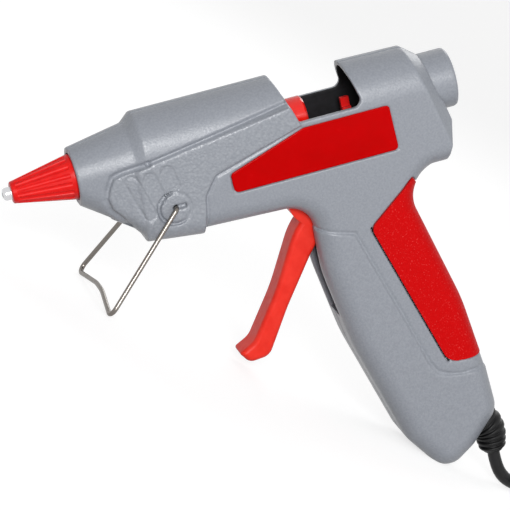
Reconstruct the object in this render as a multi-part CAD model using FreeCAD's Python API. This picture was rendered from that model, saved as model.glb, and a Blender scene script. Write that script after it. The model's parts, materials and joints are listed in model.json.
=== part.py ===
"""Hot-melt glue gun for 11 mm sticks: housing, heated barrel, trigger feed, bail stand and mains lead.

The gun is modelled in its own frame: +X runs rearward along the stick's axis, from the small end of the
nozzle's sleeve, +Y to the gun's right-hand side and +Z away from the grip. At the end every piece is
turned and moved to the way that the gun stands on a bench, on its bail and the butt of its grip, with the
origin at the butt's foot. The lead is laid out on that bench. All lengths are in millimetres.
"""
import FreeCAD
import Part
import math
import os

# ---------------------------------------------------------------- housing
HALF_WIDTH = 17.0            # flat side of the body, from the seam
WALL = 2.4                   # moulded wall
EDGE_ROUND = 8.0             # round along the body's and the grip's edges
BODY_FRONT_X = 48.0
BODY_BOTTOM_Z = -31.0
UNDERSIDE_FALL = 3.0         # how much lower the underside is at the grip than at its front
SLOT_FLOOR_Z = 3.0           # rim of the loading slot
GRIP_FRONT_X = 117.6         # straight upper part of the grip's front
BUTT_Z = -163.7              # underside of the butt
BUTT_FRONT = (139.9, BUTT_Z + 16.2)     # corners of the butt, seen from the side
BUTT_TOE = (151.5, BUTT_Z)
BUTT_HEEL = (167.2, BUTT_Z + 5.7)
BUTT_BACK = (179.7, BUTT_Z + 18.8)
BUTT_ROUND = 8.5
FOOT_DEPTH = 0.7             # how deep the flat foot cuts into the butt's rounded toe
UNDERCUT_ROUND = 12.0        # hollow between the underside and the grip's front
WEB_ROUND = 14.0             # hollow behind the grip, under the rear body
NOSE_FRONT_X = 25.6
NOSE_RADIUS = 12.05
NOSE_BACK_X = 49.6
NOSE_BACK_RADIUS = 15.9
NOSE_RISE = 0.3              # the nose's centre rises by this to its back
NOSE_MIDDLE_X = 44.6         # where the nose's underside turns down into the chin
NOSE_MIDDLE_RADIUS = 15.2
NOSE_MIDDLE_Z = -24.6
HOOD_RADIUS = HALF_WIDTH
HOOD_CENTRE_Z = 3.0
HOOD_FRONT_X = 53.9
HOOD_JOIN_X = 128.0          # inside the slot, where the front hood's section ends
REAR_CENTRE_Z = 1.7
REAR_CENTRE_DROP = 1.1       # the rear hood falls by this to the rear face
REAR_FACE_X = 177.6          # rear face at the slot floor's height
REAR_FACE_LEAN = 14.6        # degrees
REAR_CHAMFER = 5.2
TAIL_TOP = (182.1, -14.5)    # where the rear face turns forward again
TAIL_LOW = (176.9, -31.0)
PANEL_PROUD = 0.6            # grained side panel above the side
CHIN_FRONT_Z = -31.3         # underside of the chin at its front
CHIN_SLOPE = 0.125           # and its fall towards the rear
CHIN_CHAMFER = 1.5           # along the front of the chin's flat sides
PANEL_TOP_Z = 16.0           # above the panel's highest corner
PANEL_CORNERS = [(116.0, 10.7, 0.0), (118.2, 1.7, 0.0), (80.0, -8.6, 7.0), (74.0, -16.5, 10.0),
                 (70.8, -40.0, 0.0), (30.0, -40.0, 0.0), (37.5, -16.5, 2.0), (34.8, -8.5, 5.0),
                 (38.5, -0.8, 4.0), (54.0, 1.4, 12.0)]
CAPSULES = [((45.9, -3.5), (50.6, -18.1)), ((53.5, -3.7), (55.4, -12.8)), ((60.8, -2.7), (62.1, -9.0))]
CAPSULE_RADIUS = 2.3
CAPSULE_DEPTH = 0.45
SWELL_PROUD = 0.5            # raised palm swell of the grip
SWELL_CORNERS = [(100.0, -39.0, 0.0), (131.8, -49.8, 7.0), (149.6, -103.0, 60.0), (154.6, -121.5, 9.0),
                 (200.0, -127.0, 0.0), (200.0, -180.0, 0.0), (100.0, -180.0, 0.0)]
SLOT_CORNERS = [(118.0, 3.0, 0.0), (145.3, 3.0, 3.0), (141.0, 21.5, 0.0), (140.0, 60.0, 0.0),
                (98.0, 60.0, 0.0)]
SEAM_GAP = 0.06              # between the two halves, each side of the middle
MOUTH_GAP = 0.25             # round the nozzle's sleeve and the collar
CAVITY_FRONT_X = 28.4
TRIGGER_SLOT_LOW_Z = -87.0

# ---------------------------------------------------------------- trim
LABEL_THICK = 1.0
LABEL_PROUD = 0.2
LABEL_GAP = 0.15
LABEL_CORNERS = [(86.0, -10.6, 1.8), (118.8, 0.6, 4.0), (155.6, 0.6, 1.6), (156.6, -18.9, 1.8),
                 (86.3, -18.9, 2.2)]
INSERT_THICK = 1.4
INSERT_PROUD = 0.25
INSERT_GAP = 0.35
INSERT_CORNERS = [(160.2, -32.6, 0.0), (139.2, -49.2, 4.0), (161.5, -116.2, 7.0), (195.0, -118.6, 0.0),
                  (195.0, -60.0, 0.0), (163.8, -39.0, 0.0)]

# ---------------------------------------------------------------- stick, nozzle and melt chamber
STICK_RADIUS = 5.6
GUIDE_BORE_RADIUS = 5.95
COLLAR_RADIUS = 12.3
COLLAR_END_X = 187.0
GUIDE_TUBE_RADIUS = 8.2
GUIDE_FRONT_X = 151.0
CONE_TIP_RADIUS = 4.5
CONE_BASE_RADIUS = 9.35
CONE_LENGTH = 25.4
CONE_TUCK = 1.6              # part of the sleeve inside the housing's mouth
TIP_RADIUS = 2.7
TIP_LENGTH = 3.5
NOZZLE_BORE_RADIUS = 1.1
NOZZLE_HEX_RADIUS = 6.4
THREAD_RADIUS = 4.0
SHANK_END_X = 29.0
CHAMBER_RADIUS = 9.0
CHAMBER_FRONT_X = 30.0
CHAMBER_BACK_X = 86.0
CHAMBER_NECK_RADIUS = 6.6
CHAMBER_TAIL_RADIUS = 7.3
CHAMBER_TAIL_LENGTH = 10.0
SLEEVE_RADIUS = 8.4
SLEEVE_END_X = 124.0
FRONT_SUPPORT_X = 33.0
REAR_SUPPORT_X = 82.5
SUPPORT_THICK = 3.0
GUIDE_RIB_X = 153.5
FLANGE_X = 166.5
FLANGE_THICK = 2.4
CLIP_X = 90.0
CLIP_WIRE = 0.8
CLIP_EAR = 3.4
SEAT_GAP = 0.05              # between pieces pushed on or screwed in
VALVE_BALL_RADIUS = 1.6
VALVE_SPRING_GAP = 0.2        # round the valve's spring in its bore
VALVE_SPRING_WIRE = 0.25
VALVE_SPRING_TURNS = 3.5
VALVE_BORE_RADIUS = 1.9
VALVE_FRONT_X = 20.0
VALVE_LIP = 1.0
HEX_X = 16.5
HEX_LENGTH = 4.5
NECK_FRONT_X = 21.2
MELT_BORE_RADIUS = 2.6
FLUTE_COUNT = 16
FLUTE_RADIUS = 1.3
FLUTE_DEPTH = 0.45
FLUTE_START = 1.7             # plain band at each end of the sleeve's flutes
TAB_END_X = 87.5
WIRE_Y = (-4.2, -1.2)
HEATER_X = (45.5, 81.5)      # heater pocket of the chamber, front and back
HEATER_TOP_Z = -11.0
PILL_SIZE = (15.0, 12.0, 2.4)
ELECTRODE_THICK = 0.6
WRAP_THICK = 0.4
POCKET_WALL = 2.2

# ---------------------------------------------------------------- trigger and feed
PIVOT_X = 122.5
PIVOT_Z = -33.0
PIVOT_PIN_RADIUS = 2.0
RUNNING_GAP = 0.06           # radial, of a pin in its hole
TRIGGER_HALF_WIDTH = 6.2
TRIGGER_TRAVEL = 24.0        # degrees
HUB_RADIUS = 5.5
ARM_THICK = 3.0
ARM_WIDTH = 7.0
DRIVE_Z = -12.0              # height of the carriage's drive pins
DRIVE_PIN_RADIUS = 1.5
DRIVE_SLOT_GAP = 0.3
CARRIAGE_HALF_WIDTH = 8.8
CARRIAGE_THICK = 5.4
CARRIAGE_LENGTH = 28.0
CARRIAGE_FRONT = 3.6         # ahead of the drive pins
SHROUD_RADIUS = 13.5         # rounded front of the trigger about its pivot
RAIL_TONGUE = 3.2            # height of the carriage's side tongues
RAIL_THICK = 2.0
RAIL_DEPTH = 1.8
RAIL_FRONT_X = 128.5
RAIL_BACK_X = 157.0
TRIGGER_CORNERS = [(109.3, -46.6, 30.0), (97.3, -69.6, 90.0), (84.2, -88.8, 8.0), (77.4, -92.2, 1.0),
                   (80.9, -97.2, 4.0), (89.8, -96.6, 6.0), (101.2, -77.6, 60.0), (114.8, -57.8, 20.0),
                   (130.0, -40.0, 4.0), (128.0, -27.5, 4.0)]
JAW_THICK = 3.6
JAW_BACK = 16.5              # from the drive pins to the jaw's pin
JAW_PIN_RADIUS = 1.25
SIDE_GAP = 0.3               # between moving pieces side by side
SPRING_WIRE = 0.4
SPRING_RADIUS = 1.9
SPRING_ARM = 13.0            # spring's peg, from the pivot along the arm
SPRING_PEG_RADIUS = 1.0
SPRING_Y = 6.6
SPRING_POST = (152.5, -25.0)
SPRING_POST_RADIUS = 1.6
TRIGGER_EDGE = 2.2
SHROUD_TOP = 9.0
TONGUE_LENGTH = 12.0
JAW_TAIL_HALF = 4.6
JAW_HALF_WIDTH = 8.4
JAW_ARM_THICK = 2.0
JAW_ARM_TOP_Z = 0.6

# ---------------------------------------------------------------- bail stand
BAIL_WIRE_RADIUS = 1.0
BAIL_PIVOT_X = 61.4
BAIL_PIVOT_Z = -18.1
BAIL_LEG_LENGTH = 49.4       # from the pivot to the feet, seen from the side
BAIL_ANGLE = 41.7            # degrees below the axis, forward
BAIL_FOOT_HALF = 30.0
BAIL_TOP_HALF = HALF_WIDTH + PANEL_PROUD + 1.6
BAIL_ARCH = 3.6              # rise of the crossbar's middle towards the pivot
BAIL_ARCH_HALF = 5.0         # half of the arch's level middle
BAIL_BEND = 3.0
BAIL_ARCH_ROUND = 34.0
BAIL_PIN_DEPTH = 7.0
BOSS_RADIUS = 6.0

# ---------------------------------------------------------------- lead
LEAD_RADIUS = 2.75
RELIEF_BASE_RADIUS = 7.6
RELIEF_END_RADIUS = 4.4
RELIEF_NECK_RADIUS = 4.8
RELIEF_FLANGE_RADIUS = 6.2
RELIEF_STRAIGHT = 1.0
RELIEF_BEND = 12.2
RELIEF_TAIL = 8.0
SHEATH_END = (152.0, 0.0, -124.0)
CLAMP_BACK = 8.0             # from the sheath's end to the clamp
CLAMP_WIDE = 19.0
CLAMP_THICK = 3.0
CLAMP_TALL = 6.0
CLAMP_LOW_Y = LEAD_RADIUS - 0.6      # underside of the clamp bar
CLAMP_SCREW_RADIUS = 1.2
CLAMP_SCREW_LENGTH = 9.0
CLAMP_SCREW_IN = 3.2         # from the bar's end
WIRE_ROUTE = [(98.0, 0.0, -20.5), (134.0, 0.4, -21.0), (150.0, 0.6, -38.0), (147.0, 0.3, -62.0)]
SPLICE_X = 147.5
SPLICE_Y = 3.0
SPLICE_Z = -84.0
SPLICE_LENGTH = 14.0
LEAD_ROUTE = [(39.1, 0.0, 2.8), (50.0, 4.5, 2.8), (61.0, 15.5, 2.8), (75.0, 24.0, 2.8), (92.0, 23.5, 2.8)]
LEAD_FIRST_RUN = 8.0
COIL_CENTRE = (92.0, -13.0)
COIL_MEAN_RADIUS = 31.0
COIL_TURNS_ACROSS = 3
COIL_LAYERS = 2
TAIL_ROUTE = [(55.9, -15.1, 8.3), (55.9, -2.8, 9.5), (60.6, 8.6, 11.9), (69.3, 17.3, 13.9),
              (80.7, 22.0, 14.7), (93.1, 22.0, 15.5), (104.5, 17.3, 16.3), (113.2, 8.6, 17.2),
              (117.9, -2.8, 17.9), (117.9, -12.8, 17.9)]
WIRE_RADIUS = 1.0
PIN_RADIUS = 2.0
PIN_LENGTH = 19.0
PIN_SPACING = 18.6
PIN_BACK = 7.0               # length of a pin inside the plug
PIN_CORE_RADIUS = 1.5
PIN_SLEEVE_LENGTH = 10.0
PLUG_LENGTH = 33.0
PLUG_NECK_LENGTH = 9.0
PLUG_NECK_RADIUS = 4.6
PLUG_BACK_WIDTH = 15.0
PLUG_WIDTH = 35.3
PLUG_THICK = 13.7
PLUG_EDGE = 3.0

# ---------------------------------------------------------------- fasteners
SIDE_SEAT_Y = HALF_WIDTH - 2.6       # seat of a screw's head in the flat side
HOOD_SEAT_Y = 7.0                    # and in the curved hoods
SCREW_PLACES = [(52.5, -26.0, SIDE_SEAT_Y), (92.0, -26.2, SIDE_SEAT_Y), (98.0, 13.6, HOOD_SEAT_Y),
                (157.5, 12.8, HOOD_SEAT_Y), (172.0, -22.0, SIDE_SEAT_Y), (134.0, -108.0, SIDE_SEAT_Y),
                (153.5, -149.0, SIDE_SEAT_Y)]      # x, z and the seat's y
SCREW_RADIUS = 1.45
SCREW_HEAD_RADIUS = 2.9
SCREW_HEAD_DEPTH = 2.0
SCREW_SLOT_HALF = 1.9
SCREW_SLOT_WIDE = 0.8
SCREW_SLOT_DEPTH = 1.1
BOSS_WALL_RADIUS = 3.4
SCREW_HEAD_GAP = 0.3         # round a screw's head in its well
WELL_WALL = 1.2
SCREW_REACH = 8.0            # thread beyond the seam

PIVOT_PIN_HALF = HALF_WIDTH - WALL / 2 - 0.3
FAR = 400.0                  # longer than the gun


# ---------------------------------------------------------------- helpers
def vec(x, y, z):
    return FreeCAD.Vector(x, y, z)


def box(x0, x1, y0, y1, z0, z1):
    return Part.makeBox(x1 - x0, y1 - y0, z1 - z0, vec(x0, y0, z0))


def rod(radius, start, end):
    """Round bar from one point to another."""
    along = end.sub(start)
    return Part.makeCylinder(radius, along.Length, start, along)


def rod_x(radius, x0, x1, y=0.0, z=0.0):
    return rod(radius, vec(x0, y, z), vec(x1, y, z))


def rod_y(radius, y0, y1, x, z):
    return rod(radius, vec(x, y0, z), vec(x, y1, z))


def turned_x(profile):
    """Solid turned about the stick's axis from (x, radius) points."""
    points = [vec(x, 0, r) for x, r in profile]
    ends = [vec(profile[-1][0], 0, 0), vec(profile[0][0], 0, 0)]
    face = Part.Face(Part.makePolygon(points + ends + [points[0]]))
    return face.revolve(vec(0, 0, 0), vec(1, 0, 0), 360)


def mirrored(shape):
    return shape.mirror(vec(0, 0, 0), vec(0, 1, 0))


def corner_arc(before, corner, after, radius):
    """Arc that rounds a corner, or None for a sharp one: the arc's edge, its start and its end."""
    back = before.sub(corner).normalize()
    ahead = after.sub(corner).normalize()
    half = back.getAngle(ahead) / 2
    reach = radius / math.tan(half)
    start = corner.add(vec(*back).multiply(reach))
    end = corner.add(vec(*ahead).multiply(reach))
    middle = back.add(ahead).normalize().multiply(radius / math.sin(half) - radius)
    return Part.Arc(start, corner.add(middle), end).toShape(), start, end


def outline_wire(corners, closed=True):
    """Straight runs and tangent arcs through (point, radius) corners."""
    count = len(corners)
    pieces = []
    for i, (point, radius) in enumerate(corners):
        if radius <= 0 or (not closed and i in (0, count - 1)):
            pieces.append((None, point, point))
        else:
            pieces.append(corner_arc(corners[i - 1][0], point, corners[(i + 1) % count][0], radius))
    edges = []
    for i, (arc, start, end) in enumerate(pieces):
        if arc is not None:
            edges.append(arc)
        if closed or i < count - 1:
            ahead = pieces[(i + 1) % count][1]
            if ahead.sub(end).Length > 1e-6:
                edges.append(Part.LineSegment(end, ahead).toShape())
    return Part.Wire(edges)


def side_face(corners, grow=0.0):
    """Face in the seam's plane from (x, z, radius) corners, grown or shrunk all round."""
    wire = outline_wire([(vec(x, 0, z), r) for x, z, r in corners])
    face = Part.Face(wire)
    if grow:
        face = face.makeOffset2D(grow)
    return face


def side_block(corners, y0, y1, grow=0.0):
    """Side outline made into a block from y0 to y1."""
    face = side_face(corners, grow)
    face.translate(vec(0, y0, 0))
    return face.extrude(vec(0, y1 - y0, 0))


def hood_wire(x, radius, centre_z, low_z, lean=0.0):
    """Section of a hood: round top, straight sides down to low_z, leaning rearward downward."""
    slope = math.tan(math.radians(lean))

    def at(y, z):
        return vec(x - (z - centre_z) * slope, y, z)

    arc = Part.Arc(at(-radius, centre_z), at(0, centre_z + radius), at(radius, centre_z)).toShape()
    down = Part.LineSegment(at(radius, centre_z), at(radius, low_z)).toShape()
    across = Part.LineSegment(at(radius, low_z), at(-radius, low_z)).toShape()
    up = Part.LineSegment(at(-radius, low_z), at(-radius, centre_z)).toShape()
    return Part.Wire([arc, down, across, up])


def nose_wire(x, radius, centre_z, bottom_z, corner):
    """Section of the nose: round top, straight sides and a flat bottom with round corners."""
    side = radius
    low = bottom_z + corner
    inset = corner * (1 - math.sqrt(0.5))
    arc = Part.Arc(vec(x, -side, centre_z), vec(x, 0, centre_z + radius), vec(x, side, centre_z)).toShape()
    right = Part.LineSegment(vec(x, side, centre_z), vec(x, side, low)).toShape()
    right_arc = Part.Arc(vec(x, side, low), vec(x, side - inset, bottom_z + inset),
                         vec(x, side - corner, bottom_z)).toShape()
    bottom = Part.LineSegment(vec(x, side - corner, bottom_z), vec(x, corner - side, bottom_z)).toShape()
    left_arc = Part.Arc(vec(x, corner - side, bottom_z), vec(x, inset - side, bottom_z + inset),
                        vec(x, -side, low)).toShape()
    left = Part.LineSegment(vec(x, -side, low), vec(x, -side, centre_z)).toShape()
    return Part.Wire([arc, right, right_arc, bottom, left_arc, left])


def lofted(wires):
    return Part.makeLoft(wires, True, True)


def round_tube(points, radius, share=0.45):
    """Tube along straight runs joined by large arcs: the solid, its length and the arcs' radii."""
    corners = [(points[0], 0.0)]
    radii = []
    for before, corner, after in zip(points, points[1:], points[2:]):
        runs = (corner.sub(before).Length, after.sub(corner).Length)
        turn = corner.sub(before).getAngle(after.sub(corner))
        bend = share * min(runs) / math.tan(turn / 2)
        radii.append(bend)
        corners.append((corner, bend))
    corners.append((points[-1], 0.0))
    path = outline_wire(corners, closed=False)
    ring = Part.Wire(Part.makeCircle(radius, points[0], points[1].sub(points[0])))
    return path.makePipeShell([ring], True, True), path.Length, radii


# ---------------------------------------------------------------- housing outlines
def body_corners():
    """Side outline of body and grip in one, clockwise from the top front."""
    lean = math.tan(math.radians(REAR_FACE_LEAN))

    def rear(z):
        return REAR_FACE_X - (z - SLOT_FLOOR_Z) * lean

    return [(BODY_FRONT_X, 0.0, 0.0),
            (BODY_FRONT_X, BODY_BOTTOM_Z, EDGE_ROUND + 0.6),
            (GRIP_FRONT_X, BODY_BOTTOM_Z - UNDERSIDE_FALL, UNDERCUT_ROUND),
            (GRIP_FRONT_X, -64.0, 60.0),
            (124.4, -99.5, 80.0),
            (*BUTT_FRONT, 12.0),
            (*BUTT_TOE, BUTT_ROUND),
            (BUTT_TOE[0] + 7.1, BUTT_Z, BUTT_ROUND),
            (*BUTT_HEEL, 12.0),
            (*BUTT_BACK, 9.5),
            (178.0, -123.5, 40.0),
            (173.2, -92.0, 90.0),
            (155.9, BODY_BOTTOM_Z, WEB_ROUND),
            (rear(BODY_BOTTOM_Z) - 1.2, BODY_BOTTOM_Z + 0.8, EDGE_ROUND + 0.4),
            (rear(0.0) - 1.2, 0.0, 0.0)]


def body_block(inset):
    """Body and grip, inset from the outside by a wall."""
    half = HALF_WIDTH - inset
    block = side_block(body_corners(), -half, half, -inset)
    edges = []
    for edge in block.Edges:
        span = edge.BoundBox
        flat = abs(span.YMin - span.YMax) < 1e-6 and abs(abs(span.YMin) - half) < 1e-6
        if flat and span.ZMin < -inset - 1.0 and span.XMin < rear_plane_x(0.0) - 12.0:
            edges.append(edge)
    return block.makeFillet(EDGE_ROUND - inset, edges)


def rear_plane_x(z):
    return REAR_FACE_X - (z - SLOT_FLOOR_Z) * math.tan(math.radians(REAR_FACE_LEAN))


def nose_block(inset):
    """Tapered nose, deepening into the chin."""
    radius = NOSE_RADIUS - inset
    front = nose_wire(NOSE_FRONT_X, radius, 0.0, -radius, radius - 0.15)
    middle = nose_wire(NOSE_MIDDLE_X, NOSE_MIDDLE_RADIUS - inset, NOSE_RISE / 2, NOSE_MIDDLE_Z + inset,
                       EDGE_ROUND - inset)
    back = nose_wire(NOSE_BACK_X, NOSE_BACK_RADIUS - inset, NOSE_RISE, BODY_BOTTOM_Z + inset,
                     EDGE_ROUND - inset)
    return lofted([front, middle, back])


def front_hood(inset):
    """Ramp up from the nose and the round hood over the melt chamber."""
    low = -HALF_WIDTH / 3
    nose = hood_wire(NOSE_BACK_X, NOSE_BACK_RADIUS - inset, NOSE_RISE, low)
    step = hood_wire(HOOD_FRONT_X, HOOD_RADIUS - inset, HOOD_CENTRE_Z, low)
    end = hood_wire(HOOD_JOIN_X, HOOD_RADIUS - inset, HOOD_CENTRE_Z, low)
    return lofted([nose, step, end])


def rear_block(inset):
    """Rear hood and body behind the slot, with its leaning rear face and the broad chamfer round it."""
    end_x = COLLAR_END_X + HALF_WIDTH
    sections = []
    for x in (HOOD_JOIN_X, end_x):
        drop = REAR_CENTRE_DROP * (x - HOOD_JOIN_X) / (REAR_FACE_X - HOOD_JOIN_X)
        sections.append(nose_wire(x, HALF_WIDTH - inset, REAR_CENTRE_Z - drop, BODY_BOTTOM_Z + inset,
                                  EDGE_ROUND - inset))
    block = lofted(sections)
    lean = math.radians(REAR_FACE_LEAN)
    cutter = Part.makeBox(FAR, FAR, FAR, vec(-inset, -FAR / 2, -FAR / 2))
    cutter.rotate(vec(0, 0, 0), vec(0, 1, 0), -REAR_FACE_LEAN)
    cutter.translate(vec(REAR_FACE_X, 0, SLOT_FLOOR_Z))
    block = block.cut(cutter)
    normal = vec(math.cos(lean), 0, math.sin(lean))
    edges = [e for f in block.Faces if f.normalAt(0, 0).getAngle(normal) < 0.01 for e in f.Edges]
    return block.makeChamfer(REAR_CHAMFER, edges)


def tail_cutter(grow=0.0):
    """What the rear loses between the turn of its face and the underside."""
    corners = [(*TAIL_TOP, 0.0), (TAIL_TOP[0] + FAR, TAIL_TOP[1], 0.0),
               (TAIL_TOP[0] + FAR, TAIL_LOW[1], 0.0), (*TAIL_LOW, 0.0)]
    return side_block(corners, -FAR, FAR, grow)


def panel_block():
    """Grained side panel and chin, standing proud of nose, sides and underside."""
    bottom = CHIN_FRONT_Z - CHIN_SLOPE * (PIVOT_X - BODY_FRONT_X)
    chin = [(BODY_FRONT_X, PANEL_TOP_Z, 0.0), (BODY_FRONT_X, CHIN_FRONT_Z, 0.0),
            (PIVOT_X, bottom, 0.0), (PIVOT_X, PANEL_TOP_Z, 0.0)]
    half = HALF_WIDTH + PANEL_PROUD
    envelope = side_block(chin, -half, half)
    front = [e for e in envelope.Edges if e.BoundBox.YLength < 1e-6 and e.BoundBox.XMax < BODY_FRONT_X + 1e-6]
    envelope = envelope.makeChamfer(CHIN_CHAMFER, front)
    low = [e for e in envelope.Edges if e.BoundBox.YLength < 1e-6 and e.BoundBox.ZMax < 0.0]
    envelope = envelope.makeFillet(EDGE_ROUND, low).fuse(nose_block(-PANEL_PROUD))
    return side_block(PANEL_CORNERS, -FAR, FAR).common(envelope)


def swell_block():
    """Palm swell: lower and front part of the grip, standing proud of the rest."""
    return side_block(SWELL_CORNERS, -FAR, FAR).common(body_block(-SWELL_PROUD))


def slot_cutter():
    """Loading slot, cut right through both hoods down to its floor."""
    return side_block(SLOT_CORNERS, -FAR, FAR)


def housing_outside():
    """Both halves of the housing as one full block."""
    block = body_block(0.0)
    for piece in (nose_block(0.0), front_hood(0.0), rear_block(0.0), panel_block(), swell_block()):
        block = block.fuse(piece)
    return block.cut([slot_cutter(), tail_cutter()]).removeSplitter()


# ---------------------------------------------------------------- housing pieces
def trigger_opening():
    """Opening in the underside and the grip's front that the trigger swings through."""
    half = TRIGGER_HALF_WIDTH + 2 * SIDE_GAP
    front = PIVOT_X - SHROUD_RADIUS - 2 * SIDE_GAP
    back = GRIP_FRONT_X + 3 * WALL
    top = BODY_BOTTOM_Z + WALL + 1.0
    corners = [(front, top, 0.0), (back, top, 0.0), (back, TRIGGER_SLOT_LOW_Z, 0.0),
               (GRIP_FRONT_X - WALL, TRIGGER_SLOT_LOW_Z, 0.0), (GRIP_FRONT_X - WALL, -50.0, 0.0),
               (front, -50.0, 0.0)]
    outer = CARRIAGE_HALF_WIDTH + ARM_THICK + 2 * SIDE_GAP
    hub = rod_y(HUB_RADIUS + SIDE_GAP, -outer, outer, PIVOT_X, PIVOT_Z)
    return side_block(corners, -half, half).fuse(hub)


def housing_cavity():
    """Hollow inside the housing, a wall in from its outside."""
    hollow = body_block(WALL)
    for piece in (nose_block(WALL), front_hood(WALL), rear_block(WALL)):
        hollow = hollow.fuse(piece)
    throat = rod_x(NOSE_BACK_RADIUS - WALL, NOSE_MIDDLE_X, HOOD_FRONT_X, 0.0, NOSE_RISE)
    under = box(NOSE_BACK_X - WALL, HOOD_FRONT_X, WALL - NOSE_BACK_RADIUS, NOSE_BACK_RADIUS - WALL,
                NOSE_MIDDLE_Z + WALL, NOSE_RISE)
    hollow = hollow.fuse([throat, under]).cut(tail_cutter(WALL))
    return hollow.common(box(CAVITY_FRONT_X, FAR, -FAR, FAR, -FAR, FAR)).removeSplitter()


def foot_cutter():
    """Cuts the small flat foot across the butt's front corner, square to the bench."""
    block = Part.makeBox(FAR, FAR, FAR, vec(-FAR / 2, -FAR / 2, -FAR))
    block.rotate(vec(0, 0, 0), vec(0, 1, 0), STANCE)
    block.translate(FOOT)
    return block


def side_recess(corners, depth, grow):
    """Pocket of a side outline into the flat left side."""
    return side_block(corners, -FAR, depth - HALF_WIDTH, grow)


def insert_pocket():
    """Pocket for the soft insert, wrapped round the back of the grip."""
    skin = body_block(-2.0).cut(body_block(INSERT_THICK - INSERT_PROUD))
    return side_block(INSERT_CORNERS, -FAR, FAR, INSERT_GAP).common(skin)


def bail_seat():
    """On the left side: the crescent round the boss, the bail's hole and the slot behind it."""
    face = -HALF_WIDTH - PANEL_PROUD
    floor = face + 1.0
    x, z = BAIL_PIVOT_X, BAIL_PIVOT_Z
    moat = rod_y(BOSS_RADIUS + 1.1, face - 1.0, floor, x - 0.9, z - 0.3)
    moat = moat.cut(rod_y(BOSS_RADIUS, face - 2.0, floor + 1.0, x, z))
    hole = rod_y(BAIL_WIRE_RADIUS + RUNNING_GAP, -FAR, -HALF_WIDTH + BAIL_PIN_DEPTH, x, z)
    slot = box(x, x + 4.6, face - 1.0, floor + 1.0, z - 1.0, z + 1.0)
    crease = box(x + 4.6, x + 11.0, face - 1.0, face + 0.25, z - 0.2, z + 0.2)
    return moat.fuse([hole, slot, crease])


def capsule_marks():
    """Three shallow slanted capsules pressed into the left side panel."""
    face = -HALF_WIDTH - PANEL_PROUD
    marks = []
    for (x0, z0), (x1, z1) in CAPSULES:
        low, high = face - 4.0, face + CAPSULE_DEPTH
        along = vec(x1 - x0, 0, z1 - z0)
        bar = Part.makeBox(along.Length, high - low, 2 * CAPSULE_RADIUS, vec(0, low, -CAPSULE_RADIUS))
        bar.rotate(vec(0, 0, 0), vec(0, 1, 0), math.degrees(math.atan2(-along.z, along.x)))
        bar.translate(vec(x0, 0, z0))
        ends = [rod_y(CAPSULE_RADIUS, low, high, x, z) for x, z in ((x0, z0), (x1, z1))]
        marks.append(bar.fuse(ends))
    return marks[0].fuse(marks[1:])


def housing_full():
    """Hollow housing with every opening and pocket, before it is split along the seam."""
    shell = housing_outside().cut(housing_cavity())
    mouth = rod_x(CONE_BASE_RADIUS + MOUTH_GAP, NOSE_FRONT_X - 1.0, CAVITY_FRONT_X + 1.0)
    exit_hole = rod_x(COLLAR_RADIUS + MOUTH_GAP, FLANGE_X, FAR)
    left = [side_recess(LABEL_CORNERS, LABEL_THICK - LABEL_PROUD, LABEL_GAP), bail_seat(), capsule_marks()]
    cuts = [mouth, exit_hole, trigger_opening(), foot_cutter(), insert_pocket(), relief_hole()]
    return shell.cut(cuts + left + [mirrored(piece) for piece in left])


def screw_post(x, z, seat_y, side):
    """Moulded post for a housing screw; on the right it widens round the head's seat."""
    reach = HALF_WIDTH - WALL / 2
    post = rod_y(BOSS_WALL_RADIUS, side * SEAM_GAP, side * reach, x, z)
    if side > 0:
        well = SCREW_HEAD_RADIUS + SCREW_HEAD_GAP + WELL_WALL
        post = post.fuse(rod_y(well, seat_y - WELL_WALL, reach, x, z))
    return post


def half_posts(side):
    """Posts, pin seats and rails that are moulded into one half."""
    inner = HALF_WIDTH - WALL - 0.5
    outer = HALF_WIDTH - WALL / 2
    pieces = [screw_post(x, z, seat_y, side) for x, z, seat_y in SCREW_PLACES]
    arm_out = CARRIAGE_HALF_WIDTH + SIDE_GAP + ARM_THICK
    pieces.append(rod_y(PIVOT_PIN_RADIUS + 2.2, side * (arm_out + SIDE_GAP), side * outer,
                        PIVOT_X, PIVOT_Z))
    pieces.append(rod_y(BAIL_WIRE_RADIUS + 2.4, side * (HALF_WIDTH - BAIL_PIN_DEPTH - 0.8), side * outer,
                        BAIL_PIVOT_X, BAIL_PIVOT_Z))
    tongue_low = DRIVE_Z - RAIL_TONGUE / 2
    tongue_high = DRIVE_Z + RAIL_TONGUE / 2
    rail_in = HALF_WIDTH - WALL - RAIL_DEPTH
    for low, high in ((tongue_low - RAIL_THICK, tongue_low - RUNNING_GAP),
                      (tongue_high + RUNNING_GAP, tongue_high + RAIL_THICK)):
        y0, y1 = sorted((side * rail_in, side * outer))
        pieces.append(box(RAIL_FRONT_X, RAIL_BACK_X, y0, y1, low, high))
    for x0, x1, hole in ((FRONT_SUPPORT_X - 1.6, FRONT_SUPPORT_X - 0.1, CHAMBER_RADIUS + 1.0),
                         (GUIDE_RIB_X, GUIDE_RIB_X + 2.0, GUIDE_TUBE_RADIUS + SEAT_GAP)):
        y0, y1 = sorted((side * SEAM_GAP, side * inner))
        rib = box(x0, x1, y0, y1, -hole - 3.0, hole + 4.5).cut(rod_x(hole, x0 - 1, x1 + 1))
        pieces.append(rib)
    if side < 0:
        pieces.append(clamp_seat())
    else:
        pieces.append(spring_post())
    return pieces


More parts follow.
